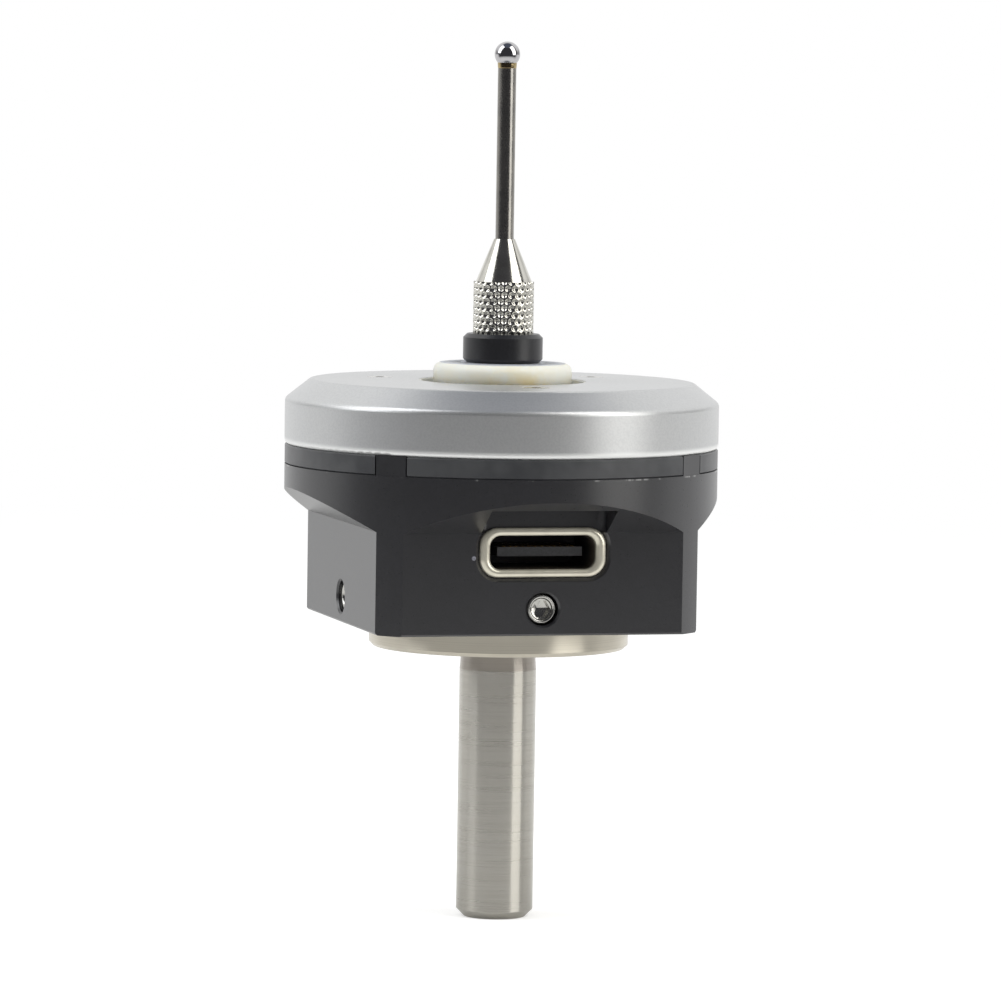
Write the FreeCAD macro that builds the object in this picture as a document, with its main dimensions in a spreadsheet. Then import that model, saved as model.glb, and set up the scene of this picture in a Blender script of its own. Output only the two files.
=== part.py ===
"""Spring-seated 3-D edge finder with a 6 mm shank, a USB-C socket and a lit ring.

Frame: millimetres, +Z from the shank towards the stylus ball, origin at the centre of
the shank's end face, the socket facing -Y.  Every driving dimension is a named cell of
the sheet "Sizes"; the pieces are bound to those cells by expressions, and the heights
are stacked in class Levels, from the shank's end face up to the ball.
"""
import FreeCAD, Part
import math
import os

import Sketcher
from FreeCAD import Placement, Rotation, Vector

# name, millimetres (degrees for angles), what it is
SIZES = (
    # shank
    ("shank_dia", 6.0, "plain shank, held by the collet"),
    ("shank_plain", 19.4, "ground length up to the neck"),
    ("shank_bevel", 0.6, "chamfer of the shank's end"),
    ("neck_length", 1.8, "relieved neck under the flange"),
    ("neck_dia", 5.7, "neck beside the flange"),
    ("flange_dia", 20.2, "flange under the housing"),
    ("flange_thick", 1.95, "flange thickness"),
    ("flange_bevel", 0.3, "chamfer of the flange's lower edge"),
    ("plug_dia", 15.9, "plug that the set screws centre"),
    ("plug_height", 3.0, "plug above the flange"),
    ("plug_gap", 0.25, "room round the plug for centring"),
    ("groove_rise", 2.0, "set screws' groove above the flange"),
    ("groove_depth", 0.6, "depth of the plug's V groove"),
    # housing
    ("body_dia", 33.7, "round upper part of the housing"),
    ("body_flats", 25.45, "across the square lower part"),
    ("body_height", 12.15, "housing without its posts"),
    ("flat_height", 7.85, "square part up to the flare"),
    ("flare_angle", 32.0, "flare above horizontal"),
    ("floor_thick", 3.75, "housing floor, up to the board's shoulder"),
    ("cavity_wall", 1.45, "housing wall behind each flat"),
    ("edge_break", 0.15, "small chamfers of housing and tapped holes"),
    ("post_width", 2.6, "corner post, outside"),
    ("post_root", 5.2, "corner post, inside"),
    ("post_depth", 4.0, "corner post, inwards from the round wall"),
    # light ring
    ("ring_height", 1.55, "light ring between housing and cover"),
    ("ring_depth", 4.8, "light ring, inwards from the round wall"),
    ("ring_edge", 0.12, "chamfer of the light ring's outer edges"),
    ("ring_gap", 0.1, "light ring to post"),
    # cover
    ("cover_lap", 0.03, "cover beyond the housing, radially"),
    ("cover_height", 5.05, "cover disc, with its bevel"),
    ("bevel_wide", 1.95, "cover bevel, radially"),
    ("bevel_high", 1.55, "cover bevel, upwards"),
    ("bevel_round", 0.5, "rounding of the bevel's two edges"),
    ("rim_round", 0.3, "rounding of the cover's lower edge"),
    ("cover_roof", 1.45, "cover wall above the contact seat"),
    ("cover_wall", 4.9, "cover rim round its recess"),
    ("mouth_dia", 13.0, "hole that the hub moves in"),
    # contact seat and its balls
    ("seat_thick", 1.6, "insulating ring that holds the balls"),
    ("seat_bore", 13.8, "hole of the contact seat"),
    ("seat_gap", 0.2, "contact seat to the cover's recess"),
    ("nest_ball", 2.0, "contact ball"),
    ("nest_depth", 1.06, "ball pocket"),
    ("nest_slack", 0.05, "ball in its pocket, radially"),
    ("nest_radius", 9.0, "pairs of balls from the axis"),
    ("nest_spread", 2.5, "between the two balls of a pair"),
    ("contact_gap", 0.05, "contact arm to ball at rest"),
    # carrier
    ("arm_dia", 1.6, "contact arm, a ground pin"),
    ("arm_root", 2.4, "arm's inner end from the axis"),
    ("arm_reach", 10.2, "arm's outer end from the axis"),
    ("arm_bevel", 0.2, "chamfer of the arm's outer end"),
    ("washer_dia", 10.75, "hub's head, seen in the cover's mouth"),
    ("washer_rise", 0.95, "hub's head above the cover"),
    ("washer_thick", 2.4, "hub's head"),
    ("washer_bevel", 0.65, "chamfer of the hub's head, radially"),
    ("washer_bevel_high", 0.4, "the same chamfer, upwards"),
    ("land_dia", 6.6, "raised land under the collar"),
    ("land_rise", 0.45, "height of that land"),
    ("hub_dia", 9.2, "hub below its head"),
    ("hub_drop", 1.7, "hub below the arms' axes"),
    ("insert_dia", 3.4, "threaded insert"),
    ("insert_rise", 0.6, "insert above the hub's underside"),
    # stylus
    ("collar_dia", 6.2, "black locking collar"),
    ("collar_height", 2.25, "black locking collar"),
    ("collar_round", 0.3, "edge radius of the collar"),
    ("stud_dia", 2.0, "stylus holder's stud"),
    ("stud_length", 6.5, "stud below the knurl"),
    ("stud_gap", 0.05, "stud in insert and collar, radially"),
    ("knurl_dia", 4.7, "over the knurl's crests"),
    ("knurl_depth", 0.17, "crest above groove"),
    ("knurl_height", 4.05, "knurled length"),
    ("cone_height", 3.3, "cone above the knurl"),
    ("cone_tip", 1.64, "cone's upper end"),
    ("shaft_dia", 1.43, "carbide shaft"),
    ("shaft_depth", 5.0, "shaft inside the holder"),
    ("shaft_gap", 0.02, "glue line round the shaft"),
    ("shaft_free", 14.3, "cone's end to the ball's centre"),
    ("spigot_dia", 1.0, "shaft's end in the ball"),
    ("spigot_top", 0.3, "spigot's end below the ball's centre"),
    ("ball_dia", 2.0, "stylus ball"),
    # circuit board
    ("board_gap", 0.1, "circuit board to the housing's wall"),
    ("board_thick", 1.0, "circuit board"),
    ("board_bolt_inset", 1.55, "board screws from the housing's wall"),
    ("board_head", 2.6, "board screw head"),
    ("board_head_high", 0.9, "board screw head"),
    ("board_thread", 1.6, "board screw thread"),
    ("board_grip", 2.2, "board screw in the housing floor"),
    ("chip_side", 3.5, "square controller chip"),
    ("chip_high", 0.9, "controller chip"),
    ("chip_offset", 2.2, "chip behind the axis"),
    ("led_length", 1.6, "indicator LED, along the rim"),
    ("led_width", 0.8, "indicator LED, radially"),
    ("led_high", 0.7, "indicator LED"),
    ("led_inset", 0.9, "indicator LEDs from the board's edge"),
    # socket
    ("shell_wide", 8.94, "socket shell outside"),
    ("shell_high", 3.2, "socket shell outside"),
    ("shell_long", 7.35, "socket shell, front to back"),
    ("mouth_wide", 8.34, "socket opening"),
    ("mouth_high", 2.56, "socket opening"),
    ("mouth_corner", 0.85, "corner radius of the opening"),
    ("mouth_deep", 6.2, "socket opening"),
    ("lip_wide", 9.95, "polished lip of the shell"),
    ("lip_high", 3.8, "polished lip of the shell"),
    ("lip_thick", 0.5, "polished lip of the shell"),
    ("lip_corner", 1.4, "corner radius of the lip"),
    ("shell_gap", 0.08, "socket in the housing"),
    ("slot_bevel", 0.25, "chamfer of the housing round the lip"),
    ("tongue_wide", 6.69, "socket tongue"),
    ("tongue_high", 0.7, "socket tongue"),
    ("tongue_long", 5.0, "socket tongue"),
    ("relief_wide", 9.9, "pocket in the flare above the socket"),
    ("relief_top", 9.75, "pocket's roof above the housing's underside"),
    ("relief_corner", 0.6, "corner radius of that pocket"),
    # fasteners
    ("set_dia", 2.35, "cone point set screw"),
    ("set_hole", 2.5, "its tapped hole"),
    ("set_recess", 0.35, "set screw below the flat"),
    ("set_socket", 1.3, "hexagon socket across flats"),
    ("set_socket_deep", 1.2, "hexagon socket"),
    ("set_bevel", 0.15, "chamfer of its outer end"),
    ("set_clear", 0.04, "cone point to the groove"),
    ("bolt_inset", 2.7, "corner screws from the round wall"),
    ("bolt_dia", 1.9, "corner screw thread"),
    ("bolt_slack", 0.1, "corner screw in its hole, radially"),
    ("bolt_head", 3.6, "corner screw head"),
    ("bolt_head_high", 1.4, "corner screw head"),
    ("bolt_sink", 1.7, "counterbore under the housing"),
    ("bolt_sink_slack", 0.15, "screw head in its counterbore, radially"),
    ("bolt_spare", 0.2, "hole beyond the corner screw's end"),
    ("bolt_grip", 3.2, "corner screw in the cover"),
    ("bolt_socket", 1.5, "hexagon socket across flats"),
    ("bolt_socket_deep", 0.7, "hexagon socket"),
    ("roof_bolt_inset", 2.08, "seat screws from the recess's wall"),
    ("roof_head", 2.0, "seat screw head"),
    ("roof_thread", 1.2, "seat screw thread"),
    ("roof_slack", 0.05, "seat screw in its hole, radially"),
    ("roof_tip", 0.3, "seat screw's end above the seat's underside"),
    ("roof_socket", 0.7, "hexagon socket across flats"),
    ("roof_socket_deep", 0.8, "hexagon socket"),
    # return springs
    ("coil_dia", 2.6, "coil, through the wire's middle"),
    ("wire_dia", 0.34, "spring wire"),
    ("coil_pitch", 1.35, "rise of one turn"),
    ("coil_radius", 7.4, "springs from the axis"),
    ("coil_gap", 0.05, "spring to board and to arm"),
)

ARMS = 3
ARM_START = 90.0
CORNERS = 4
SIDES = ("front", "right", "back", "left")
LED_COUNT = 6
LED_STEP = 44.0
KNURL_TEETH = 26
KNURL_ROWS = 8
BREAK_TAPER = -45.0

doc = FreeCAD.newDocument("edge_finder")
sheet = doc.addObject("Spreadsheet::Sheet", "Sizes")


class Size:
    """A dimension with its value and the expression that binds it to the sheet."""

    def __init__(self, value, text):
        self.value = float(value)
        self.text = text

    @staticmethod
    def of(other):
        return other if isinstance(other, Size) else Size(other, repr(float(other)))

    def __add__(self, other):
        other = Size.of(other)
        return Size(self.value + other.value, f"({self.text} + {other.text})")

    def __sub__(self, other):
        other = Size.of(other)
        return Size(self.value - other.value, f"({self.text} - {other.text})")

    def __mul__(self, other):
        other = Size.of(other)
        return Size(self.value * other.value, f"({self.text} * {other.text})")

    def __truediv__(self, other):
        other = Size.of(other)
        return Size(self.value / other.value, f"({self.text} / {other.text})")

    def __neg__(self):
        return Size(-self.value, f"(0 - {self.text})")

    def root(self):
        """Square root."""
        return Size(math.sqrt(self.value), f"sqrt({self.text})")

    def tan(self):
        """Tangent of an angle in degrees."""
        return Size(math.tan(math.radians(self.value)), f"tan({self.text})")


class Sizes:
    """The driving dimensions, one attribute a cell, and the radii that follow from them."""

    def __init__(self):
        for row, (name, value, note) in enumerate(SIZES, start=1):
            sheet.set(f"A{row}", note)
            sheet.set(f"B{row}", str(value))
            sheet.setAlias(f"B{row}", name)
        doc.recompute()
        for name, _, _ in SIZES:
            setattr(self, name, Size(sheet.get(name), f"Sizes.{name}"))
        self.cavity_dia = self.body_flats - self.cavity_wall * 2
        self.post_reach = self.body_dia / 2 - self.post_depth
        self.bolt_radius = self.body_dia / 2 - self.bolt_inset
        self.ring_bore = self.body_dia - self.ring_depth * 2
        self.cover_dia = self.body_dia + self.cover_lap * 2
        self.cover_cavity = self.cover_dia - self.cover_wall * 2
        self.roof_bolt = self.cover_cavity / 2 - self.roof_bolt_inset
        self.board_dia = self.cavity_dia - self.board_gap * 2
        self.board_bolt = self.cavity_dia / 2 - self.board_bolt_inset
        self.led_radius = self.board_dia / 2 - self.led_inset
        self.shell_corner = self.mouth_corner + (self.shell_high - self.mouth_high) / 2


class Levels:
    """Heights above the shank's end face, stacked from the driving dimensions."""

    def __init__(self, d):
        self.neck = d.shank_plain
        self.flange = self.neck + d.neck_length
        self.body = self.flange + d.flange_thick
        self.groove = self.body + d.groove_rise
        self.floor = self.body + d.floor_thick
        self.flare = self.body + d.flat_height
        self.body_top = self.body + d.body_height
        self.cover = self.body_top + d.ring_height
        self.roof = self.cover + d.cover_height
        self.ceiling = self.roof - d.cover_roof
        self.seat = self.ceiling - d.seat_thick
        self.nest = self.seat + d.nest_depth - d.nest_ball / 2
        reach = (d.nest_ball + d.arm_dia) / 2 + d.contact_gap
        half_spread = d.nest_spread / 2
        self.arm = self.nest - (reach * reach - half_spread * half_spread).root()
        self.hub = self.arm - d.hub_drop
        self.head_top = self.roof + d.washer_rise
        self.head = self.head_top - d.washer_thick
        self.land = self.head_top + d.land_rise
        self.knurl = self.land + d.collar_height
        self.cone = self.knurl + d.knurl_height
        self.cone_top = self.cone + d.cone_height
        self.ball = self.cone_top + d.shaft_free
        self.board = self.floor + d.board_thick
        self.socket = self.board + d.shell_high / 2


def bind(item, prop, size):
    """Give a property its value and the expression behind it."""
    item.setExpression(prop, Size.of(size).text)


def polar(radius, degrees):
    """The x and y of a point at a radius and an angle, bound to the radius."""
    angle = math.radians(degrees)
    return radius * round(math.cos(angle), 12), radius * round(math.sin(angle), 12)


class Piece:
    """One PartDesign body, built feature by feature; its label names the node."""

    def __init__(self, label):
        self.body = doc.addObject("PartDesign::Body", label)
        self.body.Label = label
        self.origin = {f.Role: f for f in self.body.Origin.OriginFeatures}

    def place(self, x=0.0, y=0.0, z=0.0, axis=Vector(0, 0, 1), degrees=0.0):
        """Put the body where it sits in the assembly."""
        self.body.Placement = Placement(Vector(), Rotation(axis, degrees))
        for name, size in zip("xyz", (x, y, z)):
            bind(self.body, f"Placement.Base.{name}", size)
        return self

    def sketch(self, plane="XY_Plane", offset=0.0):
        """A sketch on one of the body's own planes, moved along that plane's normal."""
        sketch = self.body.newObject("Sketcher::SketchObject", f"{self.body.Name}_sketch")
        sketch.AttachmentSupport = (self.origin[plane], [""])
        sketch.MapMode = "FlatFace"
        bind(sketch, "AttachmentOffset.Base.z", offset)
        return sketch

    def add(self, kind, sketch, **values):
        """A feature made from a sketch, with its sizes bound."""
        feature = self.body.newObject(f"PartDesign::{kind}", f"{self.body.Name}_{kind}")
        feature.Profile = sketch
        for name, value in values.items():
            if isinstance(value, Size):
                bind(feature, name, value)
            else:
                setattr(feature, name, value)
        sketch.Visibility = False
        self.body.Tip = feature
        return feature

    def turn(self, points, kind="Revolution"):
        """Revolve an outline of (radius, height) points about the Z axis."""
        sketch = self.sketch("XZ_Plane")
        outline(sketch, points)
        return self.add(kind, sketch, ReferenceAxis=(sketch, ["V_Axis"]), Angle=360.0)

    def pad(self, sketch, length, **values):
        return self.add("Pad", sketch, Length=length, **values)

    def pocket(self, sketch, length, **values):
        return self.add("Pocket", sketch, Length=length, **values)

    def round_edges(self, radius, *rings):
        """Round the circular edges at these (radius, height) places."""
        doc.recompute()
        base = self.body.Tip
        found = []
        for number, edge in enumerate(base.Shape.Edges, start=1):
            if edge.Curve.TypeId != "Part::GeomCircle":
                continue
            for ring, height in rings:
                off = abs(edge.Curve.Radius - ring.value) + abs(edge.Curve.Center.z - height.value)
                if off < 1e-6:
                    found.append(f"Edge{number}")
        fillet = self.body.newObject("PartDesign::Fillet", f"{self.body.Name}_rounding")
        fillet.Base = (base, found)
        bind(fillet, "Radius", radius)
        self.body.Tip = fillet

    def repeat(self, features, count):
        """Repeat features evenly about the Z axis."""
        pattern = self.body.newObject("PartDesign::PolarPattern", f"{self.body.Name}_pattern")
        pattern.Originals = features
        pattern.Axis = (self.origin["Z_Axis"], [""])
        pattern.Angle = 360.0
        pattern.Occurrences = count
        self.body.Tip = pattern
        return pattern


def pin_point(sketch, edge, end, x, y, skip_x=False):
    """Hold one end of an edge at (x, y) from the sketch's origin."""
    axis_and_kind = ((x, "DistanceX", -2), (y, "DistanceY", -1))
    for size, kind, axis in axis_and_kind[1:] if skip_x else axis_and_kind:
        size = Size.of(size)
        if size.value == 0.0:
            sketch.addConstraint(Sketcher.Constraint("PointOnObject", edge, end, axis))
            continue
        index = sketch.addConstraint(
            Sketcher.Constraint(kind, -1, 1, edge, end, size.value))
        bind(sketch, f"Constraints[{index}]", size)


def outline(sketch, points, arcs=()):
    """A closed outline; edges numbered in arcs are arcs about the sketch's origin."""
    spots = [Vector(Size.of(x).value, Size.of(y).value, 0) for x, y in points]
    first = sketch.GeometryCount
    count = len(spots)
    for i, start in enumerate(spots):
        end = spots[(i + 1) % count]
        if i in arcs:
            circle = Part.Circle(Vector(), Vector(0, 0, 1), start.Length)
            edge = Part.ArcOfCircle(circle, math.atan2(start.y, start.x), math.atan2(end.y, end.x))
        else:
            edge = Part.LineSegment(start, end)
        sketch.addGeometry(edge, False)
    for i, (x, y) in enumerate(points):
        before = first + (i - 1) % count
        sketch.addConstraint(Sketcher.Constraint("Coincident", before, 2, first + i, 1))
        pin_point(sketch, first + i, 1, x, y, skip_x=(i - 1) % count in arcs)
    for i in arcs:
        sketch.addConstraint(Sketcher.Constraint("Coincident", first + i, 3, -1, 1))


def circle(sketch, diameter, x=0.0, y=0.0):
    """A circle with its centre at (x, y)."""
    diameter, x, y = Size.of(diameter), Size.of(x), Size.of(y)
    middle = Vector(x.value, y.value, 0)
    edge = sketch.addGeometry(Part.Circle(middle, Vector(0, 0, 1), diameter.value / 2), False)
    index = sketch.addConstraint(Sketcher.Constraint("Diameter", edge, diameter.value))
    bind(sketch, f"Constraints[{index}]", diameter)
    pin_point(sketch, edge, 3, x, y)


def rectangle(sketch, wide, high, x=0.0, y=0.0):
    """An upright rectangle about (x, y)."""
    x, y = Size.of(x), Size.of(y)
    left, right = x - wide / 2, x + wide / 2
    low, up = y - high / 2, y + high / 2
    outline(sketch, [(left, low), (right, low), (right, up), (left, up)])


def hexagon(sketch, flats):
    """A regular hexagon about the sketch's origin, with two corners on its X axis."""
    corner = flats / math.sqrt(3)
    outline(sketch, [polar(corner, 60.0 * k) for k in range(6)])


def rounded(sketch, wide, high, corner, y):
    """An upright rectangle with round corners, centred at height y."""
    reach, rise = wide / 2 - corner, high / 2 - corner
    spots = [(reach, y + rise), (-reach, y + rise), (-reach, y - rise), (reach, y - rise)]
    middles = [Vector(a.value, b.value, 0) for a, b in spots]
    quarter = math.pi / 2
    arcs, sides = [], []
    for k, middle in enumerate(middles):
        ring = Part.Circle(middle, Vector(0, 0, 1), corner.value)
        arc = Part.ArcOfCircle(ring, quarter * k, quarter * (k + 1))
        arcs.append(sketch.addGeometry(arc, False))
    for k, middle in enumerate(middles):
        out = Vector(math.cos(quarter * (k + 1)), math.sin(quarter * (k + 1)), 0) * corner.value
        side = Part.LineSegment(middle + out, middles[(k + 1) % 4] + out)
        sides.append(sketch.addGeometry(side, False))
    for k in range(4):
        after = arcs[(k + 1) % 4]
        sketch.addConstraint(Sketcher.Constraint("Tangent", arcs[k], 2, sides[k], 1))
        sketch.addConstraint(Sketcher.Constraint("Tangent", sides[k], 2, after, 1))
    index = sketch.addConstraint(Sketcher.Constraint("Radius", arcs[0], corner.value))
    bind(sketch, f"Constraints[{index}]", corner)
    for arc, (a, b) in zip(arcs, spots):
        if arc != arcs[0]:
            sketch.addConstraint(Sketcher.Constraint("Equal", arcs[0], arc))
        pin_point(sketch, arc, 3, a, b)


# ---------------------------------------------------------------- shank and housing

def make_shank(d, z):
    """Shank, relieved neck, flange and grooved plug, turned from one bar."""
    piece = Piece("shank")
    shank, neck, flange, plug = d.shank_dia / 2, d.neck_dia / 2, d.flange_dia / 2, d.plug_dia / 2
    plug_top = z.body + d.plug_height
    piece.turn([
        (0, 0), (shank - d.shank_bevel, 0), (shank, d.shank_bevel), (shank, z.neck),
        (neck, z.flange), (flange - d.flange_bevel, z.flange),
        (flange, z.flange + d.flange_bevel), (flange, z.body), (plug, z.body),
        (plug, z.groove - d.groove_depth), (plug - d.groove_depth, z.groove),
        (plug, z.groove + d.groove_depth), (plug, plug_top), (0, plug_top),
    ])


def make_housing(d, z):
    """Black housing: round above, flared down to a square with trimmed corners."""
    piece = Piece("housing")
    radius, flat = d.body_dia / 2, d.body_flats / 2

    sketch = piece.sketch(offset=z.body)
    circle(sketch, d.body_dia)
    piece.pad(sketch, d.body_height)

    # one flat with the flare above it; the cut runs past the round wall on every side
    past = radius * 1.2
    flare_end = z.flare + (past - flat) * d.flare_angle.tan()
    sketch = piece.sketch("YZ_Plane")
    outline(sketch, [
        (-flat + d.edge_break, z.body), (-flat, z.body + d.edge_break), (-flat, z.flare),
        (-past, flare_end), (-past, z.body),
    ])
    flare = piece.pocket(sketch, d.body_dia, Midplane=True)
    piece.repeat([flare], CORNERS)

    # corner posts that carry the cover, wider inside than outside
    outside, inside = d.post_width / 2, d.post_root / 2
    rim = (radius * radius - outside * outside).root()
    sketch = piece.sketch(offset=z.body_top)
    across = [(d.post_reach, -inside), (rim, -outside), (rim, outside), (d.post_reach, inside)]
    outline(sketch, [turned(x, y, 45.0) for x, y in across])
    post = piece.pad(sketch, d.ring_height)
    piece.repeat([post], CORNERS)

    # space for the board, and the plug's bore below it
    cavity, bore = d.cavity_dia / 2, d.plug_dia / 2 + d.plug_gap
    piece.turn([
        (0, z.flange), (bore, z.flange), (bore, z.floor), (cavity, z.floor),
        (cavity, z.body_top), (0, z.body_top),
    ], kind="Groove")

    # corner screws: counterbore from below, clearance hole up through the post
    at = polar(d.bolt_radius, 45.0)
    sketch = piece.sketch(offset=z.body)
    circle(sketch, d.bolt_head + d.bolt_sink_slack * 2, *at)
    sink = piece.pocket(sketch, d.bolt_sink, Reversed=True)
    sketch = piece.sketch(offset=z.body)
    circle(sketch, d.bolt_dia + d.bolt_slack * 2, *at)
    hole = piece.pocket(sketch, d.body_height + d.ring_height, Reversed=True)
    piece.repeat([sink, hole], CORNERS)

    # board screws' tapped holes in the floor
    sketch = piece.sketch(offset=z.floor)
    circle(sketch, d.board_thread, *polar(d.board_bolt, 45.0))
    tapped = piece.pocket(sketch, d.board_grip)
    piece.repeat([tapped], CORNERS)

    # tapped holes of the four centring screws, one in the middle of each flat
    sketch = piece.sketch("XZ_Plane", offset=flat)
    circle(sketch, d.set_hole, 0.0, z.groove)
    radial = piece.pocket(sketch, flat - bore / 2)
    sketch = piece.sketch("XZ_Plane", offset=flat)
    circle(sketch, d.set_hole + d.edge_break * 2, 0.0, z.groove)
    mouth = piece.pocket(sketch, d.edge_break, TaperAngle=BREAK_TAPER)
    piece.repeat([radial, mouth], CORNERS)

    # socket opening, its lip's recess, and the pocket in the flare above it
    sketch = piece.sketch("XZ_Plane", offset=flat)
    gap = d.shell_gap
    rounded(sketch, d.shell_wide + gap * 2, d.shell_high + gap * 2, d.shell_corner + gap, z.socket)
    piece.pocket(sketch, d.shell_long)
    sketch = piece.sketch("XZ_Plane", offset=flat)
    rounded(sketch, d.lip_wide + gap * 2, d.lip_high + gap * 2, d.lip_corner + gap, z.socket)
    piece.pocket(sketch, d.lip_thick)
    sketch = piece.sketch("XZ_Plane", offset=flat)
    edge = gap + d.slot_bevel
    rounded(sketch, d.lip_wide + edge * 2, d.lip_high + edge * 2, d.lip_corner + edge, z.socket)
    piece.pocket(sketch, d.slot_bevel, TaperAngle=BREAK_TAPER)
    sketch = piece.sketch(offset=z.body + d.relief_top)
    back = flat - d.lip_thick
    rounded(sketch, d.relief_wide, past - back, d.relief_corner, -(past + back) / 2)
    piece.pocket(sketch, z.body + d.relief_top - z.flare)


def turned(x, y, degrees):
    """A point turned about the origin."""
    x, y, angle = Size.of(x), Size.of(y), math.radians(degrees)
    cos, sin = round(math.cos(angle), 12), round(math.sin(angle), 12)
    return x * cos - y * sin, x * sin + y * cos


def make_light_ring(d, z):
    """Smoked ring that lights up on contact, notched round the four posts."""
    piece = Piece("light_ring")
    outer, inner, edge = d.body_dia / 2, d.ring_bore / 2, d.ring_edge
    piece.turn([
        (inner, z.body_top), (outer - edge, z.body_top), (outer, z.body_top + edge),
        (outer, z.cover - edge), (outer - edge, z.cover), (inner, z.cover),
    ])

    # the notch keeps the posts' taper and runs out through the ring's outer wall
    radius, gap = d.body_dia / 2, d.ring_gap
    outside, inside = d.post_width / 2 + gap, d.post_root / 2 + gap
    narrow = outside - (inside - outside) / 2
    near, far = d.post_reach - gap, radius + (radius - d.post_reach) / 2
    sketch = piece.sketch(offset=z.body_top)
    across = [(near, -inside), (far, -narrow), (far, narrow), (near, inside)]
    outline(sketch, [turned(x, y, 45.0) for x, y in across])
    notch = piece.pocket(sketch, d.ring_height, Reversed=True)
    piece.repeat([notch], CORNERS)


def make_cover(d, z):
    """Silver cover disc with its bevel, the hub's mouth and the contact seat's recess."""
    piece = Piece("cover")
    radius, mouth, cavity = d.cover_dia / 2, d.mouth_dia / 2, d.cover_cavity / 2
    piece.turn([
        (cavity, z.cover), (radius, z.cover), (radius, z.roof - d.bevel_high),
        (radius - d.bevel_wide, z.roof), (mouth, z.roof), (mouth, z.ceiling),
        (cavity, z.ceiling),
    ])
    bevel = (radius, z.roof - d.bevel_high), (radius - d.bevel_wide, z.roof)
    piece.round_edges(d.bevel_round, *bevel)
    piece.round_edges(d.rim_round, (radius, z.cover))
    sketch = piece.sketch(offset=z.cover)
    circle(sketch, d.bolt_dia + d.bolt_slack, *polar(d.bolt_radius, 45.0))
    tapped = piece.pocket(sketch, d.bolt_grip + d.bolt_spare, Reversed=True)
    piece.repeat([tapped], CORNERS)

    # countersunk holes of the seat screws, one opposite each contact arm
    hole, head = d.roof_thread / 2 + d.roof_slack, d.roof_head / 2 + d.roof_slack
    for angle in between_arms():
        cutter = piece.sketch("XZ_Plane")
        cutter.AttachmentOffset = Placement(Vector(), Rotation(Vector(0, 1, 0), angle))
        outline(cutter, [
            (d.roof_bolt, z.ceiling), (d.roof_bolt + hole, z.ceiling),
            (d.roof_bolt + hole, z.roof - head + hole), (d.roof_bolt + head, z.roof),
            (d.roof_bolt, z.roof),
        ])
        edge = len(cutter.Geometry) - 1
        piece.add("Groove", cutter, ReferenceAxis=(cutter, [f"Edge{edge + 1}"]), Angle=360.0)


def arm_angles():
    """Angles of the contact arms about the axis."""
    return [ARM_START + 360.0 / ARMS * k for k in range(ARMS)]


def between_arms():
    """Angles halfway between the contact arms."""
    return [angle + 180.0 / ARMS for angle in arm_angles()]


# ------------------------------------------------------------------- contact system

def make_contact_seat(d, z):
    """Insulating ring under the cover, with a pocket for each contact ball."""
    piece = Piece("contact_seat")
    sketch = piece.sketch(offset=z.seat)
    circle(sketch, d.cover_cavity - d.seat_gap * 2)
    circle(sketch, d.seat_bore)
    piece.pad(sketch, d.seat_thick)

    sketch = piece.sketch(offset=z.seat)
    for side in (-1, 1):
        x, y = turned(d.nest_radius, d.nest_spread * (side / 2), ARM_START)
        circle(sketch, d.nest_ball + d.nest_slack * 2, x, y)
    nest = piece.pocket(sketch, d.nest_depth, Reversed=True)
    piece.repeat([nest], ARMS)

    sketch = piece.sketch(offset=z.seat)
    circle(sketch, d.roof_thread + d.roof_slack * 2, *polar(d.roof_bolt, between_arms()[0]))
    tapped = piece.pocket(sketch, d.seat_thick, Reversed=True)
    piece.repeat([tapped], ARMS)


def make_contact_balls(d, z):
    """Six hard balls, two under each contact arm."""
    balls = []
    for angle in arm_angles():
        for side in (-1, 1):
            ball = doc.addObject("Part::Sphere", "contact_ball")
            bind(ball, "Radius", d.nest_ball / 2)
            spot = (*turned(d.nest_radius, d.nest_spread * (side / 2), angle), z.nest)
            for name, size in zip("xyz", spot):
                bind(ball, f"Placement.Base.{name}", size)
            balls.append(ball)
    group = doc.addObject("Part::Compound", "contact_balls")
    group.Label = "contact_balls"
    group.Links = balls


def make_contact_arm(d, z, number, angle):
    """Ground pin that rests against a pair of balls."""
    piece = Piece(f"contact_arm_{number}")
    radius = d.arm_dia / 2
    length = d.arm_reach - d.arm_root
    piece.turn([
        (0, 0), (radius, 0), (radius, length - d.arm_bevel), (radius - d.arm_bevel, length),
        (0, length),
    ])
    x, y = polar(d.arm_root, angle)
    lying = Rotation(Vector(0, 0, 1), angle) * Rotation(Vector(0, 1, 0), 90)
    piece.place(x, y, z.arm, lying.Axis, math.degrees(lying.Angle))


def make_carrier_hub(d, z):
    """Nylon hub that carries arms and stylus; its head fills the cover's mouth."""
    piece = Piece("carrier_hub")
    head, hub, bore, land = d.washer_dia / 2, d.hub_dia / 2, d.insert_dia / 2, d.land_dia / 2
    insert = z.hub + d.insert_rise
    thread = d.stud_dia / 2 + d.stud_gap
    piece.turn([
        (thread, z.hub), (hub, z.hub), (hub, z.head), (head, z.head),
        (head, z.head_top - d.washer_bevel_high), (head - d.washer_bevel, z.head_top),
        (land, z.head_top), (land, z.land), (bore, z.land), (bore, insert),
        (thread, insert),
    ])
    # blind holes that the arms are pressed into
    sketch = piece.sketch("XZ_Plane", offset=-hub)
    circle(sketch, d.arm_dia, 0.0, z.arm)
    hole = piece.pocket(sketch, hub - d.arm_root, Reversed=True)
    piece.repeat([hole], ARMS)


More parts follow.
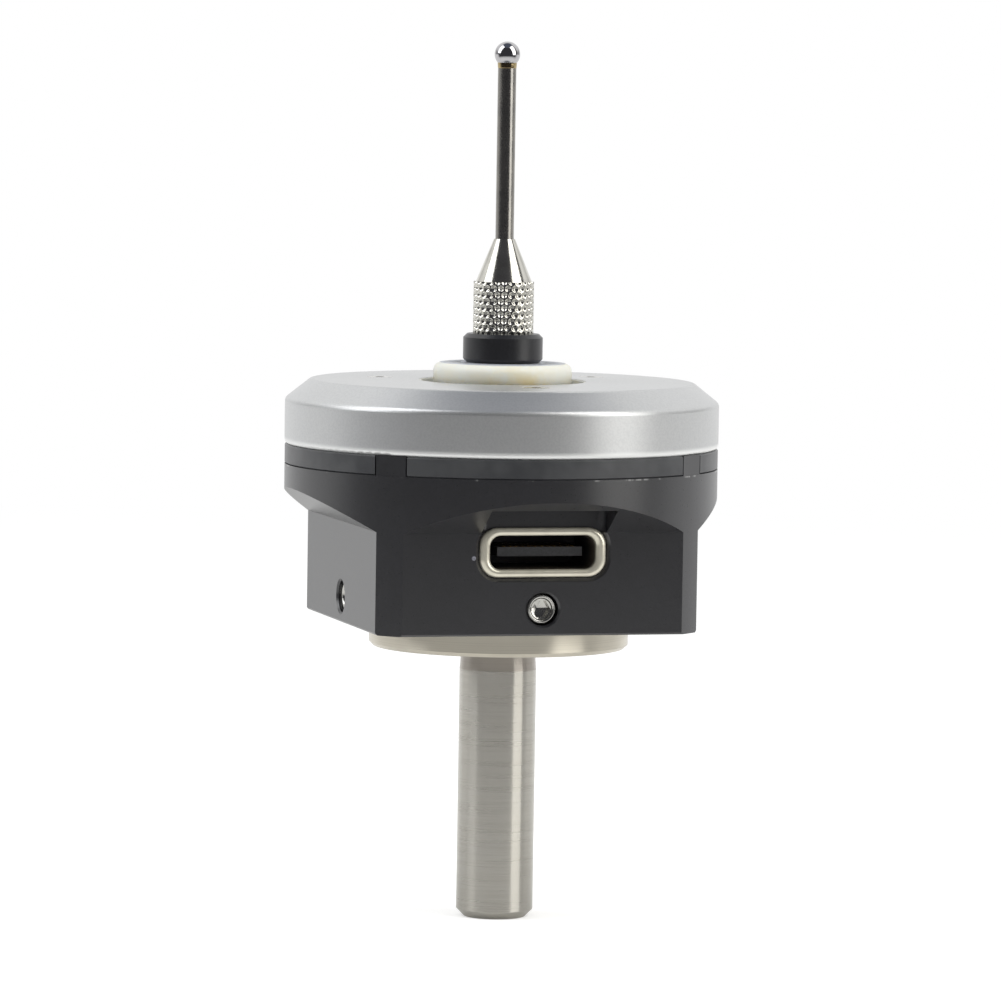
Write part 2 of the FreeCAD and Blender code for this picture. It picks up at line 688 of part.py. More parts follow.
def make_return_spring(d, z, number, angle):
    """Compression spring between the circuit board and one contact arm."""
    piece = Piece(f"return_spring_{number}")
    foot = z.board + d.coil_gap
    height = z.arm - d.arm_dia / 2 - d.coil_gap - foot
    sketch = piece.sketch("XZ_Plane")
    circle(sketch, d.wire_dia, d.coil_dia / 2, d.wire_dia / 2)
    coil = piece.body.newObject("PartDesign::AdditiveHelix", f"{piece.body.Name}_coil")
    coil.Profile = sketch
    coil.ReferenceAxis = (sketch, ["V_Axis"])
    coil.Mode = 0
    bind(coil, "Pitch", d.coil_pitch)
    bind(coil, "Height", height - d.wire_dia)
    piece.body.Tip = coil
    piece.place(*polar(d.coil_radius, angle), foot, degrees=angle)


# --------------------------------------------------------------------------- stylus

def make_threaded_insert(d, z):
    """Brass insert in the hub that the stylus screws into."""
    piece = Piece("threaded_insert")
    foot = z.hub + d.insert_rise
    inside, outside = d.stud_dia / 2 + d.stud_gap, d.insert_dia / 2
    piece.turn([(inside, foot), (outside, foot), (outside, z.land), (inside, z.land)])


def make_collar(d, z):
    """Black collar that locks the stylus holder on the hub."""
    piece = Piece("collar")
    inside, outside, edge = d.stud_dia / 2 + d.stud_gap, d.collar_dia / 2, d.collar_round
    top = z.knurl
    piece.turn([
        (inside, z.land), (outside - edge, z.land), (outside, z.land + edge),
        (outside, top - edge), (outside - edge, top), (inside, top),
    ])


def diamond_sleeve(crest, root, height):
    """A solid bar whose wall is a lattice of raised diamonds between crossing grooves."""
    step, rise = 2 * math.pi / KNURL_TEETH, height / KNURL_ROWS

    def spot(radius, column, row):
        angle = step * column
        return Vector(radius * math.cos(angle), radius * math.sin(angle), rise * row)

    def face(*corners):
        return Part.Face(Part.makePolygon([*corners, corners[0]]))

    faces = []
    for row in range(KNURL_ROWS + 1):
        shift = 0.5 * (row % 2)
        for tooth in range(KNURL_TEETH):
            left, right = tooth + shift, tooth + shift + 1
            middle = tooth + shift + 0.5
            top = spot(crest, middle, row)
            ends = spot(root, left, row), spot(root, right, row)
            if row < KNURL_ROWS:
                above = spot(root, middle, row + 1)
                faces += [face(ends[1], above, top), face(above, ends[0], top)]
            if row > 0:
                below = spot(root, middle, row - 1)
                faces += [face(below, ends[1], top), face(ends[0], below, top)]
    for row in (0, KNURL_ROWS):
        shift = 0.5 * (row % 2)
        rim = []
        for tooth in range(KNURL_TEETH):
            rim += [spot(root, tooth + shift, row), spot(crest, tooth + shift + 0.5, row)]
        faces.append(face(*rim))
    return Part.makeSolid(Part.makeShell(faces))


def make_stylus_holder(d, z):
    """Plated holder: stud, knurled grip and cone, with a bore for the shaft."""
    crest = d.knurl_dia.value / 2
    root = crest - d.knurl_depth.value
    stud, tip = d.stud_dia.value / 2, d.cone_tip.value / 2
    grip, cone = d.knurl_height.value, d.cone_height.value
    bore = d.shaft_dia.value / 2 + d.shaft_gap.value
    depth = d.shaft_depth.value

    sleeve = diamond_sleeve(crest, root, grip)
    taper = Part.makeCone(root, tip, cone, Vector(0, 0, grip))
    screw = Part.makeCylinder(stud, d.stud_length.value, Vector(0, 0, -d.stud_length.value))
    hole = Part.makeCylinder(bore, depth, Vector(0, 0, grip + cone - depth))
    shape = sleeve.multiFuse([taper, screw]).cut(hole)

    holder = doc.addObject("Part::Feature", "stylus_holder")
    holder.Label = "stylus_holder"
    holder.Shape = shape.Solids[0] if len(shape.Solids) == 1 else shape
    bind(holder, "Placement.Base.z", z.knurl)


def make_stylus_shaft(d, z):
    """Carbide shaft with a spigot for the ball."""
    piece = Piece("stylus_shaft")
    radius, spigot = d.shaft_dia / 2, d.spigot_dia / 2
    foot = z.cone_top - d.shaft_depth
    # the shoulder stops where a shaft of this width would meet the ball's lower skin
    ball = d.ball_dia / 2
    shoulder = z.ball - (ball * ball - spigot * spigot).root()
    piece.turn([
        (0, foot), (radius, foot), (radius, shoulder - radius + spigot), (spigot, shoulder),
        (spigot, z.ball - d.spigot_top), (0, z.ball - d.spigot_top),
    ])


def make_stylus_ball(d, z):
    """Polished ball, bored for the shaft's spigot."""
    ball = doc.addObject("Part::Sphere", "ball_blank")
    bind(ball, "Radius", d.ball_dia / 2)
    bore = doc.addObject("Part::Cylinder", "ball_bore")
    bind(bore, "Radius", d.spigot_dia / 2)
    bind(bore, "Height", d.ball_dia - d.spigot_top)
    bind(bore, "Placement.Base.z", -d.ball_dia)
    cut = doc.addObject("Part::Cut", "stylus_ball")
    cut.Label = "stylus_ball"
    cut.Base, cut.Tool = ball, bore
    bind(cut, "Placement.Base.z", z.ball)


# --------------------------------------------------------------------- electronics

def make_circuit_board(d, z):
    """Round circuit board on the housing's shoulder."""
    piece = Piece("circuit_board")
    sketch = piece.sketch(offset=z.floor)
    circle(sketch, d.board_dia)
    piece.pad(sketch, d.board_thick)
    sketch = piece.sketch(offset=z.floor)
    circle(sketch, d.board_thread, *polar(d.board_bolt, 45.0))
    hole = piece.pocket(sketch, d.board_thick, Reversed=True)
    piece.repeat([hole], CORNERS)


def make_board_screws(d, z):
    """Four pan head screws that hold the board down."""
    piece = Piece("board_screws")
    at = polar(d.board_bolt, 45.0)
    sketch = piece.sketch(offset=z.board)
    circle(sketch, d.board_head, *at)
    head = piece.pad(sketch, d.board_head_high)
    sketch = piece.sketch(offset=z.board)
    circle(sketch, d.board_thread, *at)
    thread = piece.pad(sketch, d.board_thick + d.board_grip, Reversed=True)
    piece.body.AllowCompound = True
    piece.repeat([head, thread], CORNERS)


def make_controller_chip(d, z):
    piece = Piece("controller_chip")
    sketch = piece.sketch(offset=z.board)
    rectangle(sketch, d.chip_side, d.chip_side, 0.0, d.chip_offset)
    piece.pad(sketch, d.chip_high)


def make_indicator_leds(d, z):
    """LEDs along the board's rim, under the light ring."""
    lamps = []
    for k in range(LED_COUNT):
        angle = ARM_START + LED_STEP * (k - (LED_COUNT - 1) / 2)
        lamp = doc.addObject("Part::Box", "led")
        bind(lamp, "Length", d.led_width)
        bind(lamp, "Width", d.led_length)
        bind(lamp, "Height", d.led_high)
        lamp.Placement = Placement(Vector(), Rotation(Vector(0, 0, 1), angle))
        corner = turned(d.led_radius - d.led_width / 2, -d.led_length / 2, angle)
        for name, size in zip("xyz", (*corner, z.board)):
            bind(lamp, f"Placement.Base.{name}", size)
        lamps.append(lamp)
    group = doc.addObject("Part::Compound", "indicator_leds")
    group.Label = "indicator_leds"
    group.Links = lamps


def make_port_shell(d, z):
    """Socket shell on the board, with its polished lip in the housing's face."""
    piece = Piece("port_shell")
    face = d.body_flats / 2
    sketch = piece.sketch("XZ_Plane", offset=face)
    rounded(sketch, d.shell_wide, d.shell_high, d.shell_corner, z.socket)
    piece.pad(sketch, d.shell_long, Reversed=True)
    sketch = piece.sketch("XZ_Plane", offset=face)
    rounded(sketch, d.lip_wide, d.lip_high, d.lip_corner, z.socket)
    piece.pad(sketch, d.lip_thick, Reversed=True)
    sketch = piece.sketch("XZ_Plane", offset=face)
    rounded(sketch, d.mouth_wide, d.mouth_high, d.mouth_corner, z.socket)
    piece.pocket(sketch, d.mouth_deep)


def make_port_tongue(d, z):
    """Plastic tongue in the middle of the socket, rooted in the shell's back wall."""
    piece = Piece("port_tongue")
    back = d.body_flats / 2 - d.mouth_deep
    sketch = piece.sketch("XZ_Plane", offset=back)
    rectangle(sketch, d.tongue_wide, d.tongue_high, 0.0, z.socket)
    piece.pad(sketch, d.tongue_long)


# ------------------------------------------------------------------------ fasteners

def make_set_screw(d, z, side, degrees):
    """Socket set screw with a cone point; its axis points outwards."""
    piece = Piece(f"set_screw_{side}")
    radius = d.set_dia / 2
    outer = d.body_flats / 2 - d.set_recess
    point = d.plug_dia / 2 - d.groove_depth + d.set_clear
    length = outer - point
    piece.turn([
        (0, -length), (radius, radius - length), (radius, -d.set_bevel),
        (radius - d.set_bevel, 0), (0, 0),
    ])
    sketch = piece.sketch()
    hexagon(sketch, d.set_socket)
    piece.pocket(sketch, d.set_socket_deep)
    outward = Rotation(Vector(0, 0, 1), degrees) * Rotation(Vector(0, 1, 0), 90)
    x, y = polar(outer, degrees)
    piece.place(x, y, z.groove, outward.Axis, math.degrees(outward.Angle))


def make_corner_screw(d, z, number, degrees):
    """Socket head screw from below, through a corner post into the cover."""
    piece = Piece(f"corner_screw_{number}")
    head, thread = d.bolt_head / 2, d.bolt_dia / 2
    seat = d.bolt_sink
    tip = d.body_height + d.ring_height + d.bolt_grip
    piece.turn([
        (0, seat - d.bolt_head_high), (head, seat - d.bolt_head_high), (head, seat),
        (thread, seat), (thread, tip), (0, tip),
    ])
    sketch = piece.sketch(offset=seat - d.bolt_head_high)
    hexagon(sketch, d.bolt_socket)
    piece.pocket(sketch, d.bolt_socket_deep, Reversed=True)
    piece.place(*polar(d.bolt_radius, degrees), z.body, degrees=degrees)


def make_seat_screw(d, z, number, degrees):
    """Countersunk screw through the cover into the contact seat."""
    piece = Piece(f"seat_screw_{number}")
    head, thread = d.roof_head / 2, d.roof_thread / 2
    tip = z.seat + d.roof_tip - z.roof
    piece.turn([(0, 0), (head, 0), (thread, thread - head), (thread, tip), (0, tip)])
    sketch = piece.sketch()
    hexagon(sketch, d.roof_socket)
    piece.pocket(sketch, d.roof_socket_deep)
    piece.place(*polar(d.roof_bolt, degrees), z.roof, degrees=degrees)


def build():
    """Make every piece of the edge finder."""
    d = Sizes()
    z = Levels(d)
    make_shank(d, z)
    make_housing(d, z)
    make_light_ring(d, z)
    make_cover(d, z)
    make_contact_seat(d, z)
    make_contact_balls(d, z)
    make_carrier_hub(d, z)
    for number, angle in enumerate(arm_angles(), start=1):
        make_contact_arm(d, z, number, angle)
        make_return_spring(d, z, number, angle)
    make_threaded_insert(d, z)
    make_collar(d, z)
    make_stylus_holder(d, z)
    make_stylus_shaft(d, z)
    make_stylus_ball(d, z)
    make_circuit_board(d, z)
    make_board_screws(d, z)
    make_controller_chip(d, z)
    make_indicator_leds(d, z)
    make_port_shell(d, z)
    make_port_tongue(d, z)
    for k, side in enumerate(SIDES):
        make_set_screw(d, z, side, -90.0 + 90.0 * k)
    for k in range(CORNERS):
        make_corner_screw(d, z, k + 1, 45.0 + 90.0 * k)
    for number, angle in enumerate(between_arms(), start=1):
        make_seat_screw(d, z, number, angle)
    doc.recompute()


def node_objects():
    """The finished pieces: every body, and the booleans and groups that name a node."""
    used = {item for owner in doc.Objects if owner.TypeId in ("Part::Cut", "Part::Compound")
            for item in owner.OutList}
    kinds = ("PartDesign::Body", "Part::Cut", "Part::Compound", "Part::Feature")
    return [item for item in doc.Objects if item.TypeId in kinds and item not in used]


def check():
    """Stop if any feature failed or any piece is not a sound solid."""
    for item in doc.Objects:
        bad = {"Invalid", "Error"} & set(item.State)
        if bad:
            raise RuntimeError(f"{item.Name} ({item.Label}) is {bad}: {item.getStatusString()}")
    for item in node_objects():
        if item.Shape.isNull() or not item.Shape.isValid() or not item.Shape.Solids:
            raise RuntimeError(f"{item.Label} is not a sound solid")


def export():
    """Write each piece to parts/NODE.step."""
    os.makedirs("parts", exist_ok=True)
    for item in node_objects():
        item.Shape.exportStep(f"parts/{item.Label}.step")
        solids, volume = len(item.Shape.Solids), item.Shape.Volume
        print(f"{item.Label}: {solids} solid(s), {volume:.2f} mm3")


build()
check()
export()
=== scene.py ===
"""Looks of a spring-seated 3-D edge finder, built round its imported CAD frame.

The frame is the CAD's, in metres: +Z from the shank towards the stylus ball, the socket
facing -Y.  The sizes of the pieces are in millimetres, those of the studio in metres, and
the finishes turn object coordinates into millimetres first.
"""
from __future__ import annotations

import logging
import math
from dataclasses import dataclass
from enum import Enum
from typing import Sequence, Union

import bmesh
import bpy
from mathutils import Matrix, Vector


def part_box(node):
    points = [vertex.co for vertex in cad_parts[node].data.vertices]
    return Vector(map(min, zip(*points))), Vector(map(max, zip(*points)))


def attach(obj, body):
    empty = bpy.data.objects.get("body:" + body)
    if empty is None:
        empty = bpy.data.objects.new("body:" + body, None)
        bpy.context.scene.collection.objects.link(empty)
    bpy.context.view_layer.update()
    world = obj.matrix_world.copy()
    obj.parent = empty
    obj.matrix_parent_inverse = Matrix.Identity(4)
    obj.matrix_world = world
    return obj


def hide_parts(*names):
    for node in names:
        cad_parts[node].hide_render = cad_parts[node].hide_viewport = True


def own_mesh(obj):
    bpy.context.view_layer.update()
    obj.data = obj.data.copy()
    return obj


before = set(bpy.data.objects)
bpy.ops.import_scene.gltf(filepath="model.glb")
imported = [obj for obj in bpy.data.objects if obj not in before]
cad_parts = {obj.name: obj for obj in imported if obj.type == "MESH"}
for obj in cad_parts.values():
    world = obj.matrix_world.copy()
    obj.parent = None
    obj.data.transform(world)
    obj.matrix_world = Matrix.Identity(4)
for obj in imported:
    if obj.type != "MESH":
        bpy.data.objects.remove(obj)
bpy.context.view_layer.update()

log = logging.getLogger("edge_finder")
MM = 0.001
UP = Vector((0, 0, 1))
ORIGIN = Vector((0, 0, 0))


# ---------------------------------------------------------------- shader arithmetic


class Signal:
    """One output of a shader node, which takes part in arithmetic."""

    def __init__(self, bench: Bench, socket: bpy.types.NodeSocket) -> None:
        """Keep the socket and the bench whose tree it belongs to."""
        self.bench = bench
        self.socket = socket

    def _do(self, operation: str, first: Value, second: Value) -> Signal:
        """Add one Math node.

        Args:
            operation: the Math node's operation.
            first: its first value or link.
            second: its second value or link.

        Returns:
            The node's result.
        """
        return self.bench.node("Math", {"operation": operation}, {0: first, 1: second})

    def __add__(self, other: Value) -> Signal:
        """Sum with a value."""
        return self._do("ADD", self, other)

    def __radd__(self, other: Value) -> Signal:
        """Sum with a value on the left."""
        return self._do("ADD", other, self)

    def __sub__(self, other: Value) -> Signal:
        """Difference to a value."""
        return self._do("SUBTRACT", self, other)

    def __rsub__(self, other: Value) -> Signal:
        """Difference from a value."""
        return self._do("SUBTRACT", other, self)

    def __mul__(self, other: Value) -> Signal:
        """Product with a value."""
        return self._do("MULTIPLY", self, other)

    def __rmul__(self, other: Value) -> Signal:
        """Product with a value on the left."""
        return self._do("MULTIPLY", other, self)

    def __truediv__(self, other: Value) -> Signal:
        """Quotient by a value."""
        return self._do("DIVIDE", self, other)

    def __rtruediv__(self, other: Value) -> Signal:
        """Quotient of a value on the left."""
        return self._do("DIVIDE", other, self)

    def __pow__(self, other: Value) -> Signal:
        """Power of this."""
        return self._do("POWER", self, other)

    def __rpow__(self, other: Value) -> Signal:
        """Power of a value on the left."""
        return self._do("POWER", other, self)

    def over(self, other: Value) -> Signal:
        """The larger of this and a value."""
        return self._do("MAXIMUM", self, other)

    def part(self, name: str) -> Signal:
        """Another output of the same node."""
        return Signal(self.bench, self.socket.node.outputs[name])


Number = Union[int, float]
Colour = tuple[float, float, float, float]
Span = tuple[float, float]
Point = tuple[float, float]
Value = Union[Signal, Number, Colour, Sequence[float]]


def paint(red: Number, green: Number, blue: Number) -> Colour:
    """Turn a screen colour into a linear one.

    Args:
        red: 0 to 255.
        green: 0 to 255.
        blue: 0 to 255.

    Returns:
        The linear colour with full alpha.
    """
    def linear(level: Number) -> float:
        """One channel, by the standard curve of a screen."""
        share = level / 255.0
        return share / 12.92 if share <= 0.04045 else ((share + 0.055) / 1.055) ** 2.4

    return (linear(red), linear(green), linear(blue), 1.0)


WHITE: Colour = (1.0, 1.0, 1.0, 1.0)


@dataclass(frozen=True)
class Fade:
    """How a pattern lets a second colour in: none up to low, and share of it from high on."""

    low: float
    high: float
    share: float = 1.0


class Bench:
    """The node tree of one material or world, and the tools that fill it."""

    def __init__(self, tree: bpy.types.NodeTree) -> None:
        """Empty the tree."""
        self.tree = tree
        tree.nodes.clear()

    def node(
        self,
        kind: str,
        settings: dict[str, object] | None = None,
        sockets: dict[int | str, Value] | None = None,
        output: int | str = 0,
    ) -> Signal:
        """Add one node.

        Args:
            kind: the node's type, without its "ShaderNode" prefix.
            settings: its properties, set first.
            sockets: values or links for its inputs, by name or number.
            output: which output comes back.

        Returns:
            That output, or the first input of a node without outputs.
        """
        made = self.tree.nodes.new("ShaderNode" + kind)
        for name, value in (settings or {}).items():
            setattr(made, name, value)
        for key, value in (sockets or {}).items():
            socket = made.inputs[key]
            if isinstance(value, Signal):
                self.tree.links.new(value.socket, socket)
            else:
                socket.default_value = value
        return Signal(self, made.outputs[output] if made.outputs else made.inputs[0])

    # -- places on the object

    def place(self) -> Signal:
        """Object coordinates, in millimetres."""
        spot = self.node("TexCoord", output="Object")
        return self.node("VectorMath", {"operation": "SCALE"}, {0: spot, "Scale": 1.0 / MM})

    def axes(self, spot: Signal) -> tuple[Signal, Signal, Signal]:
        """X, Y and Z of a place."""
        split = self.node("SeparateXYZ", None, {0: spot})
        return split, split.part("Y"), split.part("Z")

    def join(self, x: Value, y: Value, z: Value) -> Signal:
        """A vector from its three numbers."""
        return self.node("CombineXYZ", None, {0: x, 1: y, 2: z})

    def radius(self, x: Signal, y: Signal) -> Signal:
        """Distance from the axis."""
        return (x * x + y * y) ** 0.5

    def stretch(self, spot: Signal, by: Sequence[float]) -> Signal:
        """A place with each axis multiplied."""
        return self.node("VectorMath", {"operation": "MULTIPLY"}, {0: spot, 1: tuple(by)})

    # -- patterns

    def noise(self, spot: Value, scale: float, detail: float = 3.0, rough: float = 0.5) -> Signal:
        """Soft noise around 0.5.

        Args:
            spot: where, in millimetres.
            scale: patches per millimetre.
            detail: finer octaves.
            rough: weight of the finer octaves.

        Returns:
            The noise, about 0.25 to 0.75.
        """
        sockets = {"Vector": spot, "Scale": scale, "Detail": detail, "Roughness": rough}
        return self.node("TexNoise", None, sockets)

    def step(self, value: Value, low: float, high: float, full: float = 1.0) -> Signal:
        """A smooth step, which falls instead where low is above high.

        Args:
            value: the value that is tested.
            low: where the step is nothing.
            high: where it is whole.
            full: what the whole step is.

        Returns:
            Nothing up to full.
        """
        sockets = {0: value, 1: low, 2: high, 3: 0.0, 4: full}
        return self.node("MapRange", {"interpolation_type": "SMOOTHSTEP"}, sockets)

    def band(self, value: Signal, low: float, high: float, edge: float) -> Signal:
        """One between low and high, nothing outside.

        Args:
            value: the value that is tested.
            low: where the band starts.
            high: where it ends.
            edge: width of its soft edges.

        Returns:
            The mask.
        """
        rise = self.step(value, low - edge / 2, low + edge / 2)
        fall = self.step(value, high - edge / 2, high + edge / 2)
        return rise * (1.0 - fall)

    def blend(self, share: Value, base: Value, top: Value) -> Signal:
        """A colour between two others."""
        return self.node("Mix", {"data_type": "RGBA"}, {0: share, 6: base, 7: top}, 2)

    def mottle(self, pattern: Signal, fade: Fade, base: Value, top: Value) -> Signal:
        """A colour that another one breaks through where a pattern is high.

        Args:
            pattern: the noise or mask.
            fade: from where, and by how much, the other colour shows.
            base: the first colour.
            top: the other colour.

        Returns:
            The mottled colour.
        """
        return self.blend(self.step(pattern, fade.low, fade.high, fade.share), base, top)

    def turning(self, spot: Signal, per_mm: float, wander: float = 0.02) -> Signal:
        """Lines that a lathe leaves: rings along the axis and, on faces, round it.

        Args:
            spot: where, in millimetres.
            per_mm: lines per millimetre.
            wander: how much a line changes round the axis.

        Returns:
            Noise around 0.5.
        """
        x, y, z = self.axes(spot)
        run = self.radius(x, y) + z
        lines = self.join(x * wander, y * wander, run * per_mm)
        return self.noise(lines, 1.0, detail=4.0, rough=0.6)

    def bump(self, height: Signal, depth: float, strength: float) -> Signal:
        """A bumped normal.

        Args:
            height: heights from 0 to 1.
            depth: the whole height, in millimetres.
            strength: share of it.

        Returns:
            The normal.
        """
        sockets = {"Height": height, "Distance": depth * MM, "Strength": strength}
        return self.node("Bump", None, sockets)


# ---------------------------------------------------------------- finishes


@dataclass(frozen=True)
class Finish:
    """A surface finish; each kind fills in `lay`."""

    name: str

    def lay(self, bench: Bench) -> dict[str, Value]:
        """Work out what the Principled shader gets.

        Args:
            bench: the material's node tree.

        Returns:
            Values and links for the shader's sockets, by name.
        """
        raise NotImplementedError

    def material(self) -> bpy.types.Material:
        """The finished material, made once.

        Returns:
            The Blender material of this name.
        """
        found = bpy.data.materials.get(self.name + "_finish")
        if found:
            return found
        made = bpy.data.materials.new(self.name + "_finish")
        made.use_nodes = True
        bench = Bench(made.node_tree)
        shader = bench.node("BsdfPrincipled", None, self.lay(bench))
        bench.node("OutputMaterial", None, {"Surface": shader})
        return made


@dataclass(frozen=True)
class GroundSteel(Finish):
    """Turned and ground stainless: plain shank, relieved neck, bright flange."""

    tone: Colour = paint(188, 185, 177)
    worn: Colour = paint(160, 156, 147)
    pale: Colour = paint(190, 188, 182)
    groove: Colour = paint(124, 116, 106)
    neck_tone: Colour = paint(176, 170, 162)
    flange_tone: Colour = paint(214, 208, 193)
    wear: Fade = Fade(0.42, 0.7, 0.22)
    patch: Fade = Fade(0.45, 0.7, 0.3)
    grooved: Fade = Fade(0.5, 0.62, 0.1)
    neck: float = 19.4
    flange: float = 21.2
    fillet: float = 0.04
    edge: float = 0.05
    rings_per_mm: float = 9.0
    streak: tuple[float, float, float] = (0.08, 0.08, 2.6)
    rough: float = 0.21

    def lay(self, bench: Bench) -> dict[str, Value]:
        """Grinding rings on the shank, duller on the neck and the flange.

        Args:
            bench: the material's node tree.

        Returns:
            Values and links for the shader's sockets, by name.
        """
        spot = bench.place()
        _, _, z = bench.axes(spot)
        rings = bench.turning(spot, self.rings_per_mm)
        streaks = bench.noise(bench.stretch(spot, self.streak), 1.0, detail=4.0, rough=0.65)
        patches = bench.noise(spot, 0.35, detail=2.0)
        wear = bench.step(streaks, self.wear.low, self.wear.high)
        middle = self.fillet / 2
        on_neck = bench.band(z, self.neck + middle, self.flange + middle, self.edge)
        on_flange = bench.step(z, self.flange, self.flange + self.fillet)
        colour = bench.blend(wear * self.wear.share, self.tone, self.worn)
        colour = bench.mottle(patches, self.patch, colour, self.pale)
        colour = bench.blend(on_neck, colour, self.neck_tone)
        colour = bench.blend(on_flange, colour, self.flange_tone)
        colour = bench.mottle(rings, self.grooved, colour, self.groove)
        turned = self.rough + rings * 0.08 + wear * 0.03
        return {
            "Base Color": colour,
            "Metallic": 1.0 - on_neck * 0.2,
            "Roughness": turned + on_neck * 0.05 + on_flange * 0.1,
            "Anisotropic": 0.9,
            "Anisotropic Rotation": 0.25,
            "Normal": bench.bump(rings, 0.002, 0.35),
        }


@dataclass(frozen=True)
class BlackAnodised(Finish):
    """Fine blasted metal, anodised or oxidised black, with pale specks painted as glints along a joint
    if it has one.
    """

    tone: Colour = paint(23, 23, 26)
    lift: Colour = paint(36, 36, 41)
    # colour of the glints painted along the joint
    painted_glint: Colour = paint(136, 136, 135)
    grained: Fade = Fade(0.4, 0.68, 0.35)
    cloudy: Fade = Fade(0.4, 0.75, 0.2)
    glinting: Fade = Fade(0.56, 0.62, 0.7)
    rough: float = 0.25
    grain: float = 7.0
    depth: float = 0.004
    gloss: float = 1.0
    joint: float | None = None
    # where the painted glints sit under the joint
    glint_low: float = 0.13
    glint_high: float = 0.01
    glint_edge: float = 0.05

    def lay(self, bench: Bench) -> dict[str, Value]:
        """Blasted grain, faint cloudiness and, along a joint, pale specks painted as glints.

        Args:
            bench: the material's node tree.

        Returns:
            Values and links for the shader's sockets, by name.
        """
        spot = bench.place()
        grain = bench.noise(spot, self.grain, rough=0.6)
        cloud = bench.noise(spot, 0.25)
        colour = bench.mottle(grain, self.grained, self.tone, self.lift)
        colour = bench.mottle(cloud, self.cloudy, colour, self.lift)
        if self.joint is not None:
            # painted glints: pale specks along the joint that stand in for highlights
            colour = bench.blend(self.painted_glints(bench, spot), colour, self.painted_glint)
        return {
            "Base Color": colour,
            "Roughness": self.rough + grain * 0.08,
            "Specular IOR Level": self.gloss,
            "Normal": bench.bump(grain, self.depth, 0.5),
        }

    def painted_glints(self, bench: Bench, spot: Signal) -> Signal:
        """Pale specks painted as glints just under the joint.

        Args:
            bench: the material's node tree.
            spot: the place, in millimetres.

        Returns:
            How much of the painted glint shows.
        """
        x, y, z = bench.axes(spot)
        around = bench.noise(bench.join(x, y, 0.0), 0.55, detail=4.0, rough=0.7)
        painted_glint = bench.step(around, self.glinting.low, self.glinting.high, self.glinting.share)
        low, high = self.joint - self.glint_low, self.joint - self.glint_high
        return painted_glint * bench.band(z, low, high, self.glint_edge)


@dataclass(frozen=True)
class SilverAnodised(Finish):
    """Satin clear-anodised aluminium with the lathe's faint lines under the blasting."""

    foot: float
    tone: Colour = paint(204, 205, 205)
    shade: Colour = paint(190, 191, 192)
    pale: Colour = paint(204, 205, 207)
    # colour of the highlight painted along the foot
    rim_highlight_tone: Colour = paint(226, 227, 226)
    grained: Fade = Fade(0.38, 0.66, 0.5)
    cloudy: Fade = Fade(0.45, 0.7, 0.25)
    rim_highlight: Span = (0.25, 0.6)

    def lay(self, bench: Bench) -> dict[str, Value]:
        """Blasted grain over turning lines, cloudy in places, with a highlight painted as a bright rim
        at the foot.

        Args:
            bench: the material's node tree.

        Returns:
            Values and links for the shader's sockets, by name.
        """
        spot = bench.place()
        _, _, z = bench.axes(spot)
        lines = bench.turning(spot, 6.0, wander=0.05)
        grain = bench.noise(spot, 6.0, rough=0.65)
        cloud = bench.noise(spot, 0.3)
        # painted highlight: a bright, less metallic band along the foot's edge
        rim_highlight = 1.0 - bench.step(z, self.foot + self.rim_highlight[0], self.foot + self.rim_highlight[1])
        colour = bench.mottle(grain, self.grained, self.tone, self.shade)
        colour = bench.mottle(cloud, self.cloudy, colour, self.pale)
        return {
            "Base Color": bench.blend(rim_highlight, colour, self.rim_highlight_tone),
            "Metallic": 0.86 - rim_highlight * 0.4,
            "Roughness": 0.29 + grain * 0.1 + lines * 0.06,
            "Normal": bench.bump(lines * 0.5 + grain * 0.5, 0.006, 0.5),
        }


@dataclass(frozen=True)
class SmokedResin(Finish):
    """Smoked diffuser resin of the light ring."""

    tone: Colour = paint(60, 61, 63)
    deep: Colour = paint(46, 47, 50)
    milky: Fade = Fade(0.35, 0.7)

    def lay(self, bench: Bench) -> dict[str, Value]:
        """Milky depth that varies slowly, with a fine moulded grain.

        Args:
            bench: the material's node tree.

        Returns:
            Values and links for the shader's sockets, by name.
        """
        spot = bench.place()
        depth = bench.noise(spot, 0.4, detail=2.0)
        grain = bench.noise(spot, 9.0, detail=2.0)
        return {
            "Base Color": bench.mottle(depth, self.milky, self.tone, self.deep),
            "Roughness": 0.34 + grain * 0.1,
            "Coat Weight": 0.15,
            "Coat Roughness": 0.25,
            "Normal": bench.bump(grain, 0.003, 0.4),
        }


